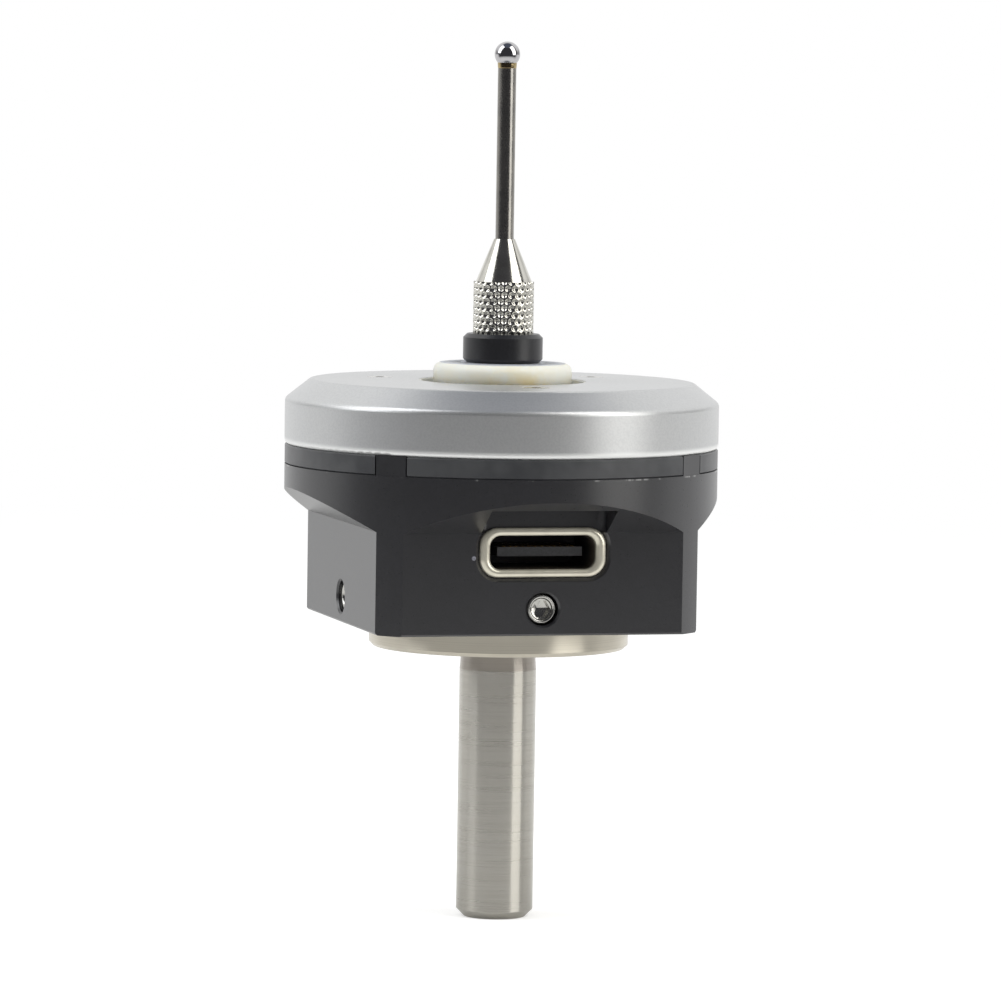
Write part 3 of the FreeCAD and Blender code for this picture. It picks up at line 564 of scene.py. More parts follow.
@dataclass(frozen=True)
class Nylon(Finish):
    """Milky natural nylon, with warm shading painted low down at the front."""

    seat: float
    land: float
    tone: Colour = paint(224, 225, 218)
    # colour of the painted warm shading
    deep: Colour = paint(224, 212, 174)
    # cool grey of the shade painted on the land under the collar
    land_shade_tone: Colour = paint(186, 190, 197)
    cool_top: float = 0.4
    land_edge: Span = (0.04, 0.01)
    front: Span = (-4.6, -5.3)
    clouds: Span = (0.3, 0.6)
    high_warmth: float = 0.4
    back_warmth: float = 0.3

    def lay(self, bench: Bench) -> dict[str, Value]:
        """Turned nylon with warm shading painted towards the bottom front of its head, and cool grey
        painted shade on its land.

        Args:
            bench: the material's node tree.

        Returns:
            Values and links for the shader's sockets, by name.
        """
        spot = bench.place()
        _, y, z = bench.axes(spot)
        lines = bench.turning(spot, 5.0, wander=0.05)
        cloud = bench.noise(spot, 0.6)
        # painted warm shading: yellower low on the head and towards the front
        low = 1.0 - bench.step(z, self.seat, self.land - self.cool_top)
        height_warmth = low * (1.0 - self.high_warmth) + self.high_warmth
        depth_warmth = bench.step(y, *self.front) * (1.0 - self.back_warmth) + self.back_warmth
        warm_shading = height_warmth * bench.step(cloud, *self.clouds) * depth_warmth
        # painted shade: the land under the collar in cool grey
        on_shaded_land = bench.step(z, *(self.land - edge for edge in self.land_edge))
        colour = bench.blend(warm_shading, self.tone, self.deep)
        return {
            "Base Color": bench.blend(on_shaded_land, colour, self.land_shade_tone),
            "Roughness": 0.42 + lines * 0.12,
            "Subsurface Weight": 0.25,
            "Subsurface Radius": (1.2 * MM, 1.0 * MM, 0.7 * MM),
            "Subsurface Scale": 1.0,
            "Normal": bench.bump(lines, 0.005, 0.4),
        }


@dataclass(frozen=True)
class Plating(Finish):
    """A metal surface with fine marks: plating, ground steel, brass or gold."""

    tone: Colour
    shade: Colour
    rough: float
    lines: float
    depth: float
    cloudy: Fade = Fade(0.4, 0.7, 0.6)

    def lay(self, bench: Bench) -> dict[str, Value]:
        """Fine lathe marks and a slight change of colour.

        Args:
            bench: the material's node tree.

        Returns:
            Values and links for the shader's sockets, by name.
        """
        spot = bench.place()
        lines = bench.turning(spot, self.lines, wander=0.2)
        cloud = bench.noise(spot, 0.8)
        return {
            "Base Color": bench.mottle(cloud, self.cloudy, self.tone, self.shade),
            "Metallic": 1.0,
            "Roughness": self.rough + lines * 0.08,
            "Normal": bench.bump(lines, self.depth, 0.5),
        }


@dataclass(frozen=True)
class PortSteel(Finish):
    """Drawn steel of the socket: a polished lip, dull and shaded inside."""

    face: float
    tone: Colour = paint(222, 217, 200)
    shade: Colour = paint(204, 200, 184)
    inside: Colour = paint(104, 94, 84)
    deep: Colour = paint(62, 60, 62)
    cloudy: Fade = Fade(0.4, 0.7, 0.6)
    lip_end: Span = (0.42, 0.62)
    shaded: Span = (0.6, 3.2)
    drawing: tuple[float, float, float] = (0.6, 0.6, 9.0)

    def lay(self, bench: Bench) -> dict[str, Value]:
        """Bright at the lip and darker with the depth of the socket.

        Args:
            bench: the material's node tree.

        Returns:
            Values and links for the shader's sockets, by name.
        """
        spot = bench.place()
        _, y, _ = bench.axes(spot)
        cloud = bench.noise(spot, 0.8)
        drawn = bench.noise(bench.stretch(spot, self.drawing), 1.0)
        sunk = bench.step(y, *(self.face + depth for depth in self.lip_end))
        far = bench.step(y, *(self.face + depth for depth in self.shaded))
        lip = bench.mottle(cloud, self.cloudy, self.tone, self.shade)
        return {
            "Base Color": bench.blend(sunk, lip, bench.blend(far, self.inside, self.deep)),
            "Metallic": 0.6,
            "Roughness": 0.2 + sunk * 0.16 + drawn * 0.06,
            "Normal": bench.bump(drawn, 0.002, 0.4),
        }


@dataclass(frozen=True)
class Moulded(Finish):
    """Plastic or epoxy with a fine moulded texture."""

    tone: Colour = paint(40, 40, 42)
    lift: Colour = paint(52, 52, 54)
    rough: float = 0.45
    grain: float = 8.0
    grained: Fade = Fade(0.4, 0.65)

    def lay(self, bench: Bench) -> dict[str, Value]:
        """Moulded grain in two tones.

        Args:
            bench: the material's node tree.

        Returns:
            Values and links for the shader's sockets, by name.
        """
        grain = bench.noise(bench.place(), self.grain)
        return {
            "Base Color": bench.mottle(grain, self.grained, self.tone, self.lift),
            "Roughness": self.rough + grain * 0.1,
            "Normal": bench.bump(grain, 0.004, 0.4),
        }


@dataclass(frozen=True)
class Laminate(Finish):
    """Green circuit board with copper tracks under its lacquer."""

    lacquer: Colour = paint(20, 74, 44)
    track: Colour = paint(52, 116, 66)
    fibre: Colour = paint(16, 60, 36)
    woven: Fade = Fade(0.45, 0.65, 0.3)
    cells_per_mm: float = 0.8
    track_span: Span = (0.26, 0.36)
    track_edge: float = 0.03

    def lay(self, bench: Bench) -> dict[str, Value]:
        """Tracks that run round square cells, over a faint weave.

        Args:
            bench: the material's node tree.

        Returns:
            Values and links for the shader's sockets, by name.
        """
        spot = bench.place()
        x, y, _ = bench.axes(spot)
        cells = bench.node(
            "TexVoronoi", {"distance": "CHEBYCHEV", "feature": "F1"},
            {"Vector": bench.join(x, y, 0.0), "Scale": self.cells_per_mm},
        )
        tracks = bench.band(cells, *self.track_span, self.track_edge)
        weave = bench.noise(spot, 5.0, detail=2.0)
        colour = bench.blend(tracks, self.lacquer, self.track)
        return {
            "Base Color": bench.mottle(weave, self.woven, colour, self.fibre),
            "Roughness": 0.3 + weave * 0.15,
            "Coat Weight": 0.4,
            "Coat Roughness": 0.2,
            "Normal": bench.bump(tracks, 0.03, 0.5),
        }


@dataclass(frozen=True)
class LedResin(Finish):
    """Clear amber-tinted LED resin."""

    tone: Colour = paint(228, 226, 206)
    amber: Colour = paint(236, 220, 150)
    tinted: Fade = Fade(0.4, 0.65)

    def lay(self, bench: Bench) -> dict[str, Value]:
        """Pale resin with a warm tint in places.

        Args:
            bench: the material's node tree.

        Returns:
            Values and links for the shader's sockets, by name.
        """
        cloud = bench.noise(bench.place(), 2.0, detail=2.0)
        return {
            "Base Color": bench.mottle(cloud, self.tinted, self.tone, self.amber),
            "Roughness": 0.2 + cloud * 0.1,
            "Coat Weight": 0.5,
            "Coat Roughness": 0.1,
        }


STEEL = GroundSteel("ground_steel")
BLACK = BlackAnodised("black_anodised", joint=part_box("light_ring")[0].z / MM)
COLLAR_BLACK = BlackAnodised(
    "black_oxide", paint(27, 27, 30), paint(38, 38, 42), rough=0.3, grain=5.0, depth=0.003, gloss=0.6,
)
SILVER = SilverAnodised("silver_anodised", foot=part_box("cover")[0].z / MM)
SMOKE = SmokedResin("smoked_ring")
NYLON = Nylon("nylon", seat=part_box("cover")[1].z / MM, land=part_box("carrier_hub")[1].z / MM)
PORT_METAL = PortSteel("port_metal", face=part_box("port_shell")[0].y / MM)
BRIGHT = Plating("bright_plate", paint(214, 212, 204), paint(188, 186, 178), 0.1, 4.0, 0.002)
CARBIDE = Plating("carbide", paint(158, 155, 149), paint(138, 136, 133), 0.2, 6.0, 0.002)
MIRROR = Plating("polished_ball", paint(192, 191, 192), paint(184, 183, 186), 0.03, 1.0, 0.0003)
HARD = Plating("hard_steel", paint(200, 200, 198), paint(186, 186, 184), 0.12, 5.0, 0.001)
SPRING = Plating("spring_steel", paint(176, 174, 170), paint(150, 148, 144), 0.25, 5.0, 0.002)
SCREW = Plating("screw_steel", paint(196, 195, 190), paint(172, 171, 166), 0.18, 5.0, 0.003)
BRASS = Plating("brass", paint(196, 164, 96), paint(178, 146, 82), 0.22, 5.0, 0.003)
GOLD = Plating("contact_gold", paint(214, 180, 108), paint(196, 160, 90), 0.18, 5.0, 0.001)
BRAZE = Plating("braze", paint(176, 160, 120), paint(92, 68, 54), 0.14, 3.0, 0.02)
PLASTIC = Moulded("black_plastic")
TONGUE = Moulded("tongue_plastic", paint(34, 34, 36), paint(44, 44, 47), 0.4, 6.0)
LIGHT_PIPE = Moulded("light_pipe", paint(112, 113, 122), paint(128, 129, 138), 0.3, 6.0)
CAPACITOR = Moulded("capacitor_body", paint(150, 120, 88), paint(164, 134, 100))
LAMINATE = Laminate("board_laminate")
LED = LedResin("led_resin")


# ---------------------------------------------------------------- mesh tools


def put(name: str, data: bpy.types.ID) -> bpy.types.Object:
    """Put an object into the scene.

    Args:
        name: its name.
        data: its mesh, light or camera.

    Returns:
        The object, at the origin.
    """
    made = bpy.data.objects.new(name, data)
    bpy.context.scene.collection.objects.link(made)
    return made


def finished(name: str, mesh: bmesh.types.BMesh, finish: Finish) -> bpy.types.Object:
    """Make a smooth piece from a mesh.

    Args:
        name: the piece's name.
        mesh: its faces; freed here.
        finish: what it is covered with.

    Returns:
        The piece, in the scene.
    """
    bmesh.ops.recalc_face_normals(mesh, faces=mesh.faces)
    data = bpy.data.meshes.new(name)
    mesh.to_mesh(data)
    mesh.free()
    for face in data.polygons:
        face.use_smooth = True
    data.materials.append(finish.material())
    return put(name, data)


def spoke(angle: float) -> Vector:
    """The level unit vector at an angle in radians, anticlockwise from +X."""
    return Vector((math.cos(angle), math.sin(angle), 0.0))


def turn(mesh: bmesh.types.BMesh, profile: Sequence[Point], steps: int, centre: Vector) -> None:
    """Add a closed ring turned from a profile.

    Args:
        mesh: what it is added to.
        profile: (radius, height) in millimetres, closed.
        steps: facets round the axis.
        centre: the axis, at height zero, in metres.
    """
    rows = []
    for index in range(steps):
        along = spoke(2 * math.pi * index / steps)
        spots = (along * radius + Vector((0, 0, height)) for radius, height in profile)
        rows.append([mesh.verts.new(centre + spot * MM) for spot in spots])
    for index, row in enumerate(rows):
        after = rows[(index + 1) % steps]
        for k in range(len(profile)):
            j = (k + 1) % len(profile)
            mesh.faces.new((row[k], after[k], after[j], row[j]))


def skin(mesh: bmesh.types.BMesh, rings: Sequence[Sequence[Vector]]) -> None:
    """Join closed rings of points by faces, and close the first and the last ring.

    Args:
        mesh: what it is added to.
        rings: the rings, one after the other, all of one length.
    """
    rows = [[mesh.verts.new(point) for point in ring] for ring in rings]
    steps = len(rows[0])
    for low, high in zip(rows, rows[1:]):
        for k in range(steps):
            j = (k + 1) % steps
            mesh.faces.new((low[k], low[j], high[j], high[k]))
    mesh.faces.new(rows[0])
    mesh.faces.new(rows[-1])


def rounded_outline(wide: float, high: float, corner: float, steps: int) -> list[Vector]:
    """Points of a rounded rectangle round the origin.

    Args:
        wide: its width.
        high: its height.
        corner: its corner radius.
        steps: points in each corner.

    Returns:
        Points with x and y, anticlockwise from the upper right.
    """
    points = []
    for quarter, (side, up) in enumerate(((1, 1), (-1, 1), (-1, -1), (1, -1))):
        middle = Vector((side * (wide / 2 - corner), up * (high / 2 - corner)))
        for k in range(steps + 1):
            angle = math.pi / 2 * (quarter + k / steps)
            points.append(middle + Vector((math.cos(angle), math.sin(angle))) * corner)
    return points


def block(
    mesh: bmesh.types.BMesh, centre: Vector, size: Sequence[float], edge: float, spin: float = 0.0,
) -> None:
    """Add a block with broken edges.

    Args:
        mesh: what it is added to.
        centre: its middle, in metres.
        size: its three sizes, in metres.
        edge: width of the broken edges, in metres.
        spin: its turn about Z, in radians.
    """
    made = bmesh.ops.create_cube(mesh, size=1.0)["verts"]
    turned = Matrix.Rotation(spin, 4, "Z")
    place = Matrix.Translation(centre) @ turned @ Matrix.Diagonal((*size, 1.0))
    bmesh.ops.transform(mesh, matrix=place, verts=made)
    edges = list({e for v in made for e in v.link_edges})
    bmesh.ops.bevel(mesh, geom=edges, offset=edge, segments=2, affect="EDGES")


def dress(finish: Finish, *nodes: str) -> None:
    """Give CAD nodes a finish.

    Args:
        finish: the finish.
        nodes: the nodes' names.
    """
    material = finish.material()
    for name in nodes:
        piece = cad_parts[name]
        if not piece.material_slots:
            piece.data.materials.append(material)
        for held in piece.material_slots:
            held.material = material
        log.info("dressed %s with %s", name, finish.name)


class Body(Enum):
    """The bodies that new pieces ride on."""

    PROBE = "probe_body"
    CARRIER = "carrier"


class Slot(Enum):
    """Names of the record's material slots, which `seat` takes but does not use."""

    BLACK_PLASTIC = "black_plastic"
    BRASS = "brass"
    BRIGHT_PLATE = "bright_plate"
    LED_RESIN = "led_resin"
    NYLON = "nylon"
    PORT_METAL = "port_metal"
    SCREW_STEEL = "screw_steel"
    SPRING_STEEL = "spring_steel"


class Side(Enum):
    """The housing's sides, each with its turn from the front, in degrees."""

    FRONT = 0.0
    RIGHT = 90.0
    BACK = 180.0
    LEFT = 270.0


def seat(piece: bpy.types.Object, body: Body, slot: Slot) -> None:
    """Let a new piece ride on a body.

    Args:
        piece: the piece, in place.
        body: what it moves with.
        slot: not used.
    """
    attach(piece, body.value)
    log.info("made %s on %s", piece.name, body.value)


# ---------------------------------------------------------------- sub-assemblies


@dataclass
class Shank:
    """Shank, neck, flange and plug, turned in one piece."""

    def build(self) -> None:
        """Dress the turned steel."""
        dress(STEEL, "shank")


@dataclass(frozen=True)
class Hole:
    """Where a screw's outer face stands in its hole, and how it is turned."""

    face: Vector
    across: Vector
    away: Vector


@dataclass
class Housing:
    """Black housing, its screws and the small charge light beside the socket."""

    light_x: float = -5.5
    light_z: float = 29.1
    light_dia: float = 0.34
    light_proud: float = 0.02
    light_deep: float = 0.1
    light_bore: float = 0.002
    light_dome: float = 0.7
    light_steps: int = 24
    socket: float = 1.3
    hexagon_depths: tuple[float, ...] = (0.24, 0.4, 1.2)
    socket_tip: float = 0.2
    point: float = 0.02
    point_blunt: float = 0.05
    dome_in: float = 0.78
    dome_low: float = 0.3
    dome_steps: int = 9
    steps: int = 48
    sharp: float = 35.0

    def build(self) -> None:
        """Dress the housing, make its set screws and add its charge light."""
        dress(BLACK, "housing")
        dress(SCREW, *(f"corner_screw_{k}" for k in range(1, 5)))
        for side in Side:
            self.set_screw(side)
        self.charge_light()

    def set_screw(self, side: Side) -> None:
        """A cone point set screw with a domed rim round its hexagon.

        Args:
            side: the side of the housing that it is in.
        """
        node = f"set_screw_{side.name.lower()}"
        turned = math.radians(side.value)
        low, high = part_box(node)
        away = Vector((math.sin(turned), -math.cos(turned), 0.0))
        across = Vector((math.cos(turned), math.sin(turned), 0.0))
        size = high - low
        radius = size.z / 2 / MM
        long = abs(size.dot(away)) / MM
        hole = Hole((low + high) / 2 + away * long / 2 * MM, across, away)
        rings = [self.ring(hole, *spot, 0.0) for spot in self.outside(radius, long)]
        corner = self.socket / 2 / math.cos(math.pi / 6)
        for depth in self.hexagon_depths:
            rings.append(self.ring(hole, corner, -depth, 1.0))
        rings.append(self.ring(hole, self.point, -self.hexagon_depths[-1] - self.socket_tip, 1.0))
        mesh = bmesh.new()
        skin(mesh, rings)
        piece = finished(f"{node}_domed", mesh, SCREW)
        piece.data.set_sharp_from_angle(angle=math.radians(self.sharp))
        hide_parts(node)
        seat(piece, Body.PROBE, Slot.SCREW_STEEL)

    def outside(self, radius: float, long: float) -> list[Point]:
        """A set screw's profile from its point over its side to the dome's inner edge.

        Args:
            radius: the screw's radius.
            long: its length.

        Returns:
            (radius, place out of the face) of each ring.
        """
        profile = [
            (self.point, -long),
            (radius - self.point_blunt, radius - self.point_blunt - long),
            (radius, radius - long),
            (radius, -self.dome_low),
        ]
        centre = (self.dome_in + radius) / 2
        for k in range(1, self.dome_steps):
            swing = math.pi * k / self.dome_steps
            reach = centre + math.cos(swing) * (radius - centre)
            profile.append((reach, -self.dome_low + math.sin(swing) * self.dome_low))
        return profile

    def ring(self, hole: Hole, reach: float, out: float, hexagonal: float) -> list[Vector]:
        """A ring of points that is round, hexagonal or between the two.

        Args:
            hole: where the screw's face is.
            reach: distance from the axis to the circle or to the hexagon's corners.
            out: place along the axis, out of the face.
            hexagonal: 0 for round, 1 for a hexagon.

        Returns:
            The points, in metres.
        """
        points = []
        for k in range(self.steps):
            angle = 2 * math.pi * k / self.steps
            flat = math.cos(math.pi / 6) / math.cos(math.remainder(angle, math.pi / 3))
            far = reach * (1 - hexagonal) + reach * flat * hexagonal
            spun = angle + math.pi / 6
            spot = hole.across * math.cos(spun) + UP * math.sin(spun)
            points.append(hole.face + (spot * far + hole.away * out) * MM)
        return points

    def charge_light(self) -> None:
        """A small domed light pipe set flush in the flat."""
        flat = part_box("port_shell")[0].y
        reach, dome = self.light_dia / 2, self.light_dome
        profile = [
            (self.light_bore, -self.light_deep), (reach, -self.light_deep), (reach, 0.0),
            (reach * dome, self.light_proud * dome), (self.light_bore, self.light_proud),
        ]
        mesh = bmesh.new()
        turn(mesh, profile, self.light_steps, ORIGIN)
        place = Matrix.Translation((self.light_x * MM, flat, self.light_z * MM))
        upright = place @ Matrix.Rotation(math.pi / 2, 4, "X")
        bmesh.ops.transform(mesh, matrix=upright, verts=mesh.verts)
        seat(finished("charge_light", mesh, LIGHT_PIPE), Body.PROBE, Slot.LED_RESIN)


@dataclass
class Cover:
    """Silver cover with a pale liner in its mouth, its screws, and the contact seat with its balls."""

    mouth: float = 6.5
    clearance: float = 0.005
    liner: float = 0.18
    wall: float = 1.4
    sunk: float = 0.03
    steps: int = 128

    def build(self) -> None:
        """Dress cover, screws, seat and balls, and line the mouth."""
        dress(SILVER, "cover")
        dress(SCREW, *(f"seat_screw_{k}" for k in range(1, 4)))
        dress(PLASTIC, "contact_seat")
        dress(HARD, "contact_balls")
        self.mouth_liner()

    def mouth_liner(self) -> None:
        """A thin nylon ring in the hole that the hub moves in, its inner edge eased."""
        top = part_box("cover")[1].z / MM - self.sunk
        low = top - self.wall
        inner, outer = self.mouth - self.liner, self.mouth - self.clearance
        edge = self.liner / 3
        profile = [
            (inner, low), (inner, top - edge), (inner + edge * 0.4, top - edge * 0.3),
            (inner + edge, top), (outer, top), (outer, low),
        ]
        mesh = bmesh.new()
        turn(mesh, profile, self.steps, ORIGIN)
        seat(finished("mouth_liner", mesh, NYLON), Body.PROBE, Slot.NYLON)


@dataclass
class LightRing:
    """Smoked ring between housing and cover, and the LEDs behind it."""

    def build(self) -> None:
        """Dress ring and LEDs."""
        dress(SMOKE, "light_ring")
        dress(LED, "indicator_leds")


@dataclass
class Carrier:
    """Nylon hub with its rounded head, arms, springs and threaded insert."""

    head: float = 5.385
    corner: float = 0.62
    corner_steps: int = 8
    head_low: float = 41.4
    land_sunk: float = 0.01
    thick: float = 0.3
    bore: float = 3.0
    steps: int = 128
    coil: float = 1.3
    wire: float = 0.17
    wire_steps: int = 10
    turn_steps: int = 20
    coil_turns: float = 6.5
    dead_turns: float = 1.0
    dead_pitch: float = 2.1
    travel: float = 2.34
    slack: float = 0.16

    def build(self) -> None:
        """Dress the moving parts inside, round the head and wind the springs."""
        dress(NYLON, "carrier_hub")
        self.rounded_head()
        dress(HARD, *(f"contact_arm_{k}" for k in range(1, 4)))
        dress(BRASS, "threaded_insert")
        for number in range(1, 4):
            self.spring(number)

    def spring(self, number: int) -> None:
        """A coil spring with closed ends.

        Args:
            number: which of the three arms it stands under.
        """
        node = f"return_spring_{number}"
        low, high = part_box(node)
        middle = (low + high) / 2
        foot, top = low.z / MM + self.wire, high.z / MM - self.wire - self.slack
        whole = self.coil_turns + 2 * self.dead_turns
        along = int(whole * self.turn_steps)
        rings = []
        for step in range(along + 1):
            turned = whole * step / along
            out = spoke(2 * math.pi * turned)
            height = self.coil_height(turned, foot, top)
            centre = Vector((middle.x / MM, middle.y / MM, height)) + out * self.coil
            angles = (2 * math.pi * k / self.wire_steps for k in range(self.wire_steps))
            section = (out * math.cos(a) + UP * math.sin(a) for a in angles)
            rings.append([(centre + spot * self.wire) * MM for spot in section])
        mesh = bmesh.new()
        skin(mesh, rings)
        piece = finished(f"coil_spring_{number}", mesh, SPRING)
        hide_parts(node)
        seat(piece, Body.PROBE, Slot.SPRING_STEEL)
        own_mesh(piece)

    def coil_height(self, turned: float, foot: float, top: float) -> float:
        """The height of a spring's wire, which rises slowly in the closed end turns.

        Args:
            turned: turns from the lower end.
            foot: height of the lower end.
            top: height of the upper end.

        Returns:
            The height of the wire's middle.
        """
        dead_rise = self.wire * self.dead_pitch
        share = (turned - self.dead_turns) / self.coil_turns
        if share < 0.0:
            return foot + dead_rise * turned / self.dead_turns
        if share > 1.0:
            left = self.coil_turns + 2 * self.dead_turns - turned
            return top - dead_rise * left / self.dead_turns
        return foot + dead_rise + (top - foot - 2 * dead_rise) * share

    def rounded_head(self) -> None:
        """The soft-edged head of the hub, up to the collar."""
        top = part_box("carrier_hub")[1].z / MM - self.land_sunk
        profile = [(self.head - self.thick, self.head_low), (self.head, self.head_low)]
        for k in range(self.corner_steps + 1):
            angle = math.pi / 2 * k / self.corner_steps
            profile.append((
                self.head - self.corner * (1 - math.cos(angle)),
                top - self.corner * (1 - math.sin(angle)),
            ))
        profile += [(self.bore, top), (self.bore, top - self.thick)]
        mesh = bmesh.new()
        turn(mesh, profile, self.steps, ORIGIN)
        seat(finished("hub_head", mesh, NYLON), Body.CARRIER, Slot.NYLON)


@dataclass
class Stylus:
    """Collar, knurled holder, carbide shaft and polished ball."""

    axis: float = 0.05
    stud: float = 1.0
    stud_long: float = 6.5
    shoulder: float = 0.2
    grip: float = 4.05
    root: float = 2.18
    tip: float = 0.82
    tip_edge: float = 0.05
    tip_deep: float = 0.3
    cone_rings: tuple[float, ...] = (0.0, 0.012, 0.03, 0.5, 0.97, 0.988, 1.0)
    teeth: int = 26
    rows: int = 8
    dimple: float = 0.27
    dimple_floor: float = 0.05
    dimple_deep: float = 0.14
    around: int = 416
    up: int = 100
    sharp: float = 50.0
    braze_low: float = -1.18
    braze_high: float = -0.66
    braze_swell: float = 0.03
    braze_root: float = 0.1
    braze_steps: int = 64

    def build(self) -> None:
        """Dress the stylus, knurl its holder and add the braze under its ball."""
        dress(COLLAR_BLACK, "collar")
        dress(CARBIDE, "stylus_shaft")
        dress(MIRROR, "stylus_ball")
        self.holder()
        self.braze()

    def holder(self) -> None:
        """Stud, grip with its net of ridges round small dimples, and cone."""
        low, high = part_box("stylus_holder")
        crest = (high.x - low.x) / 2 / MM
        foot, top = low.z / MM, high.z / MM
        start = foot + self.stud_long
        cone = start + self.grip
        rings = [
            self.ring(self.axis, foot), self.ring(self.stud, foot),
            self.ring(self.stud, start), self.ring(crest - self.shoulder, start),
        ]
        for step in range(self.up + 1):
            rings.append(self.grip_ring(crest, start, self.grip * step / self.up))
        for share in self.cone_rings:
            radius = self.root + (self.tip - self.root) * share
            rings.append(self.ring(radius, cone + (top - cone) * share))
        rings.append(self.ring(self.tip - self.tip_edge, top))
        rings.append(self.ring(self.tip - self.tip_edge * 2, top - self.tip_deep))
        rings.append(self.ring(self.axis, top - self.tip_deep))
        mesh = bmesh.new()
        skin(mesh, rings)
        piece = finished("knurled_holder", mesh, BRIGHT)
        piece.data.set_sharp_from_angle(angle=math.radians(self.sharp))
        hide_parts("stylus_holder")
        seat(piece, Body.CARRIER, Slot.BRIGHT_PLATE)

    def ring(self, radius: float, height: float) -> list[Vector]:
        """A round ring of points about the axis.

        Args:
            radius: its radius.
            height: its height.

        Returns:
            The points, in metres.
        """
        angles = (2 * math.pi * k / self.around for k in range(self.around))
        return [Vector((math.cos(a) * radius, math.sin(a) * radius, height)) * MM for a in angles]

    def grip_ring(self, crest: float, start: float, height: float) -> list[Vector]:
        """A ring of points that follows the dimples of the grip.

        Args:
            crest: the grip's radius between its dimples.
            start: height of the grip's foot.
            height: the ring's height above it.

        Returns:
            The points, in metres.
        """
        points = []
        for k in range(self.around):
            angle = 2 * math.pi * k / self.around
            radius = crest - self.dimple_depth(angle * crest, height, crest)
            spot = Vector((math.cos(angle) * radius, math.sin(angle) * radius, start + height))
            points.append(spot * MM)
        return points

    def dimple_depth(self, along: float, height: float, crest: float) -> float:
        """How deep the grip lies at a place, from rows of dimples set half a step apart.

        Args:
            along: distance round the grip.
            height: height above the grip's foot.
            crest: the grip's radius between its dimples.

        Returns:
            The depth under the crests.
        """
        pitch, rise = 2 * math.pi * crest / self.teeth, self.grip / self.rows
        row = round(height / rise)
        nearest = math.inf
        for near in (row - 1, row, row + 1):
            offset = 0.5 + 0.5 * (near % 2)
            column = round(along / pitch - offset) + offset
            nearest = min(nearest, math.hypot(along - column * pitch, height - near * rise))
        share = (nearest - self.dimple_floor) / (self.dimple - self.dimple_floor)
        share = min(1.0, max(0.0, share))
        return self.dimple_deep * (1 - share * share * (3 - 2 * share))

    def braze(self) -> None:
        """The golden ring of braze between shaft and ball."""
        ball_low, ball_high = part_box("stylus_ball")
        shaft_low, shaft_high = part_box("stylus_shaft")
        radius = (shaft_high.x - shaft_low.x) / 2 / MM
        low, high, swell = self.braze_low, self.braze_high, self.braze_swell
        profile = [
            (radius - self.braze_root, low + 0.05),
            (radius + 0.004, low),
            (radius + swell * 0.7, low + 0.12),
            (radius + swell, (low + high) / 2),
            (radius + swell * 1.3, high - 0.04),
            (radius + swell * 2, high + 0.04),
            (radius - self.braze_root, high + 0.03),
        ]
        mesh = bmesh.new()
        turn(mesh, profile, self.braze_steps, (ball_low + ball_high) / 2)
        piece = finished("ball_braze", mesh, BRAZE)
        rounder = piece.modifiers.new("rounded", "SUBSURF")
        rounder.levels = rounder.render_levels = 2
        seat(piece, Body.CARRIER, Slot.BRASS)


@dataclass
class Electronics:
    """Circuit board with its screws, chip and small parts."""

    capacitor: tuple[float, float, float] = (1.0, 0.5, 0.5)
    body_share: float = 0.62
    end_share: float = 0.2
    edge: float = 0.04
    row_radius: float = 6.2
    row_angles: tuple[float, ...] = (20.0, 45.0, 135.0, 160.0, 205.0, 335.0)

    def build(self) -> None:
        """Dress the board and add its small parts."""
        dress(LAMINATE, "circuit_board")
        dress(SCREW, "board_screws")
        dress(PLASTIC, "controller_chip")
        self.capacitors()

    def capacitors(self) -> None:
        """Small ceramic capacitors with tinned ends, in an arc round the chip."""
        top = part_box("circuit_board")[1].z
        bodies, ends = bmesh.new(), bmesh.new()
        long, wide, high = (size * MM for size in self.capacitor)
        edge = self.edge * MM
        reach = long * (1 - self.end_share) / 2
        for angle in self.row_angles:
            turned = math.radians(angle)
            middle = spoke(turned) * self.row_radius * MM
            middle.z = top + high / 2
            along = Vector((-math.sin(turned), math.cos(turned), 0.0))
            block(bodies, middle, (wide, long * self.body_share, high), edge, turned)
            for side in (-1, 1):
                end = middle + along * side * reach
                block(ends, end, (wide, long * self.end_share, high), edge, turned)
        seat(finished("capacitors", bodies, CAPACITOR), Body.PROBE, Slot.BLACK_PLASTIC)
        seat(finished("capacitor_ends", ends, SCREW), Body.PROBE, Slot.SCREW_STEEL)


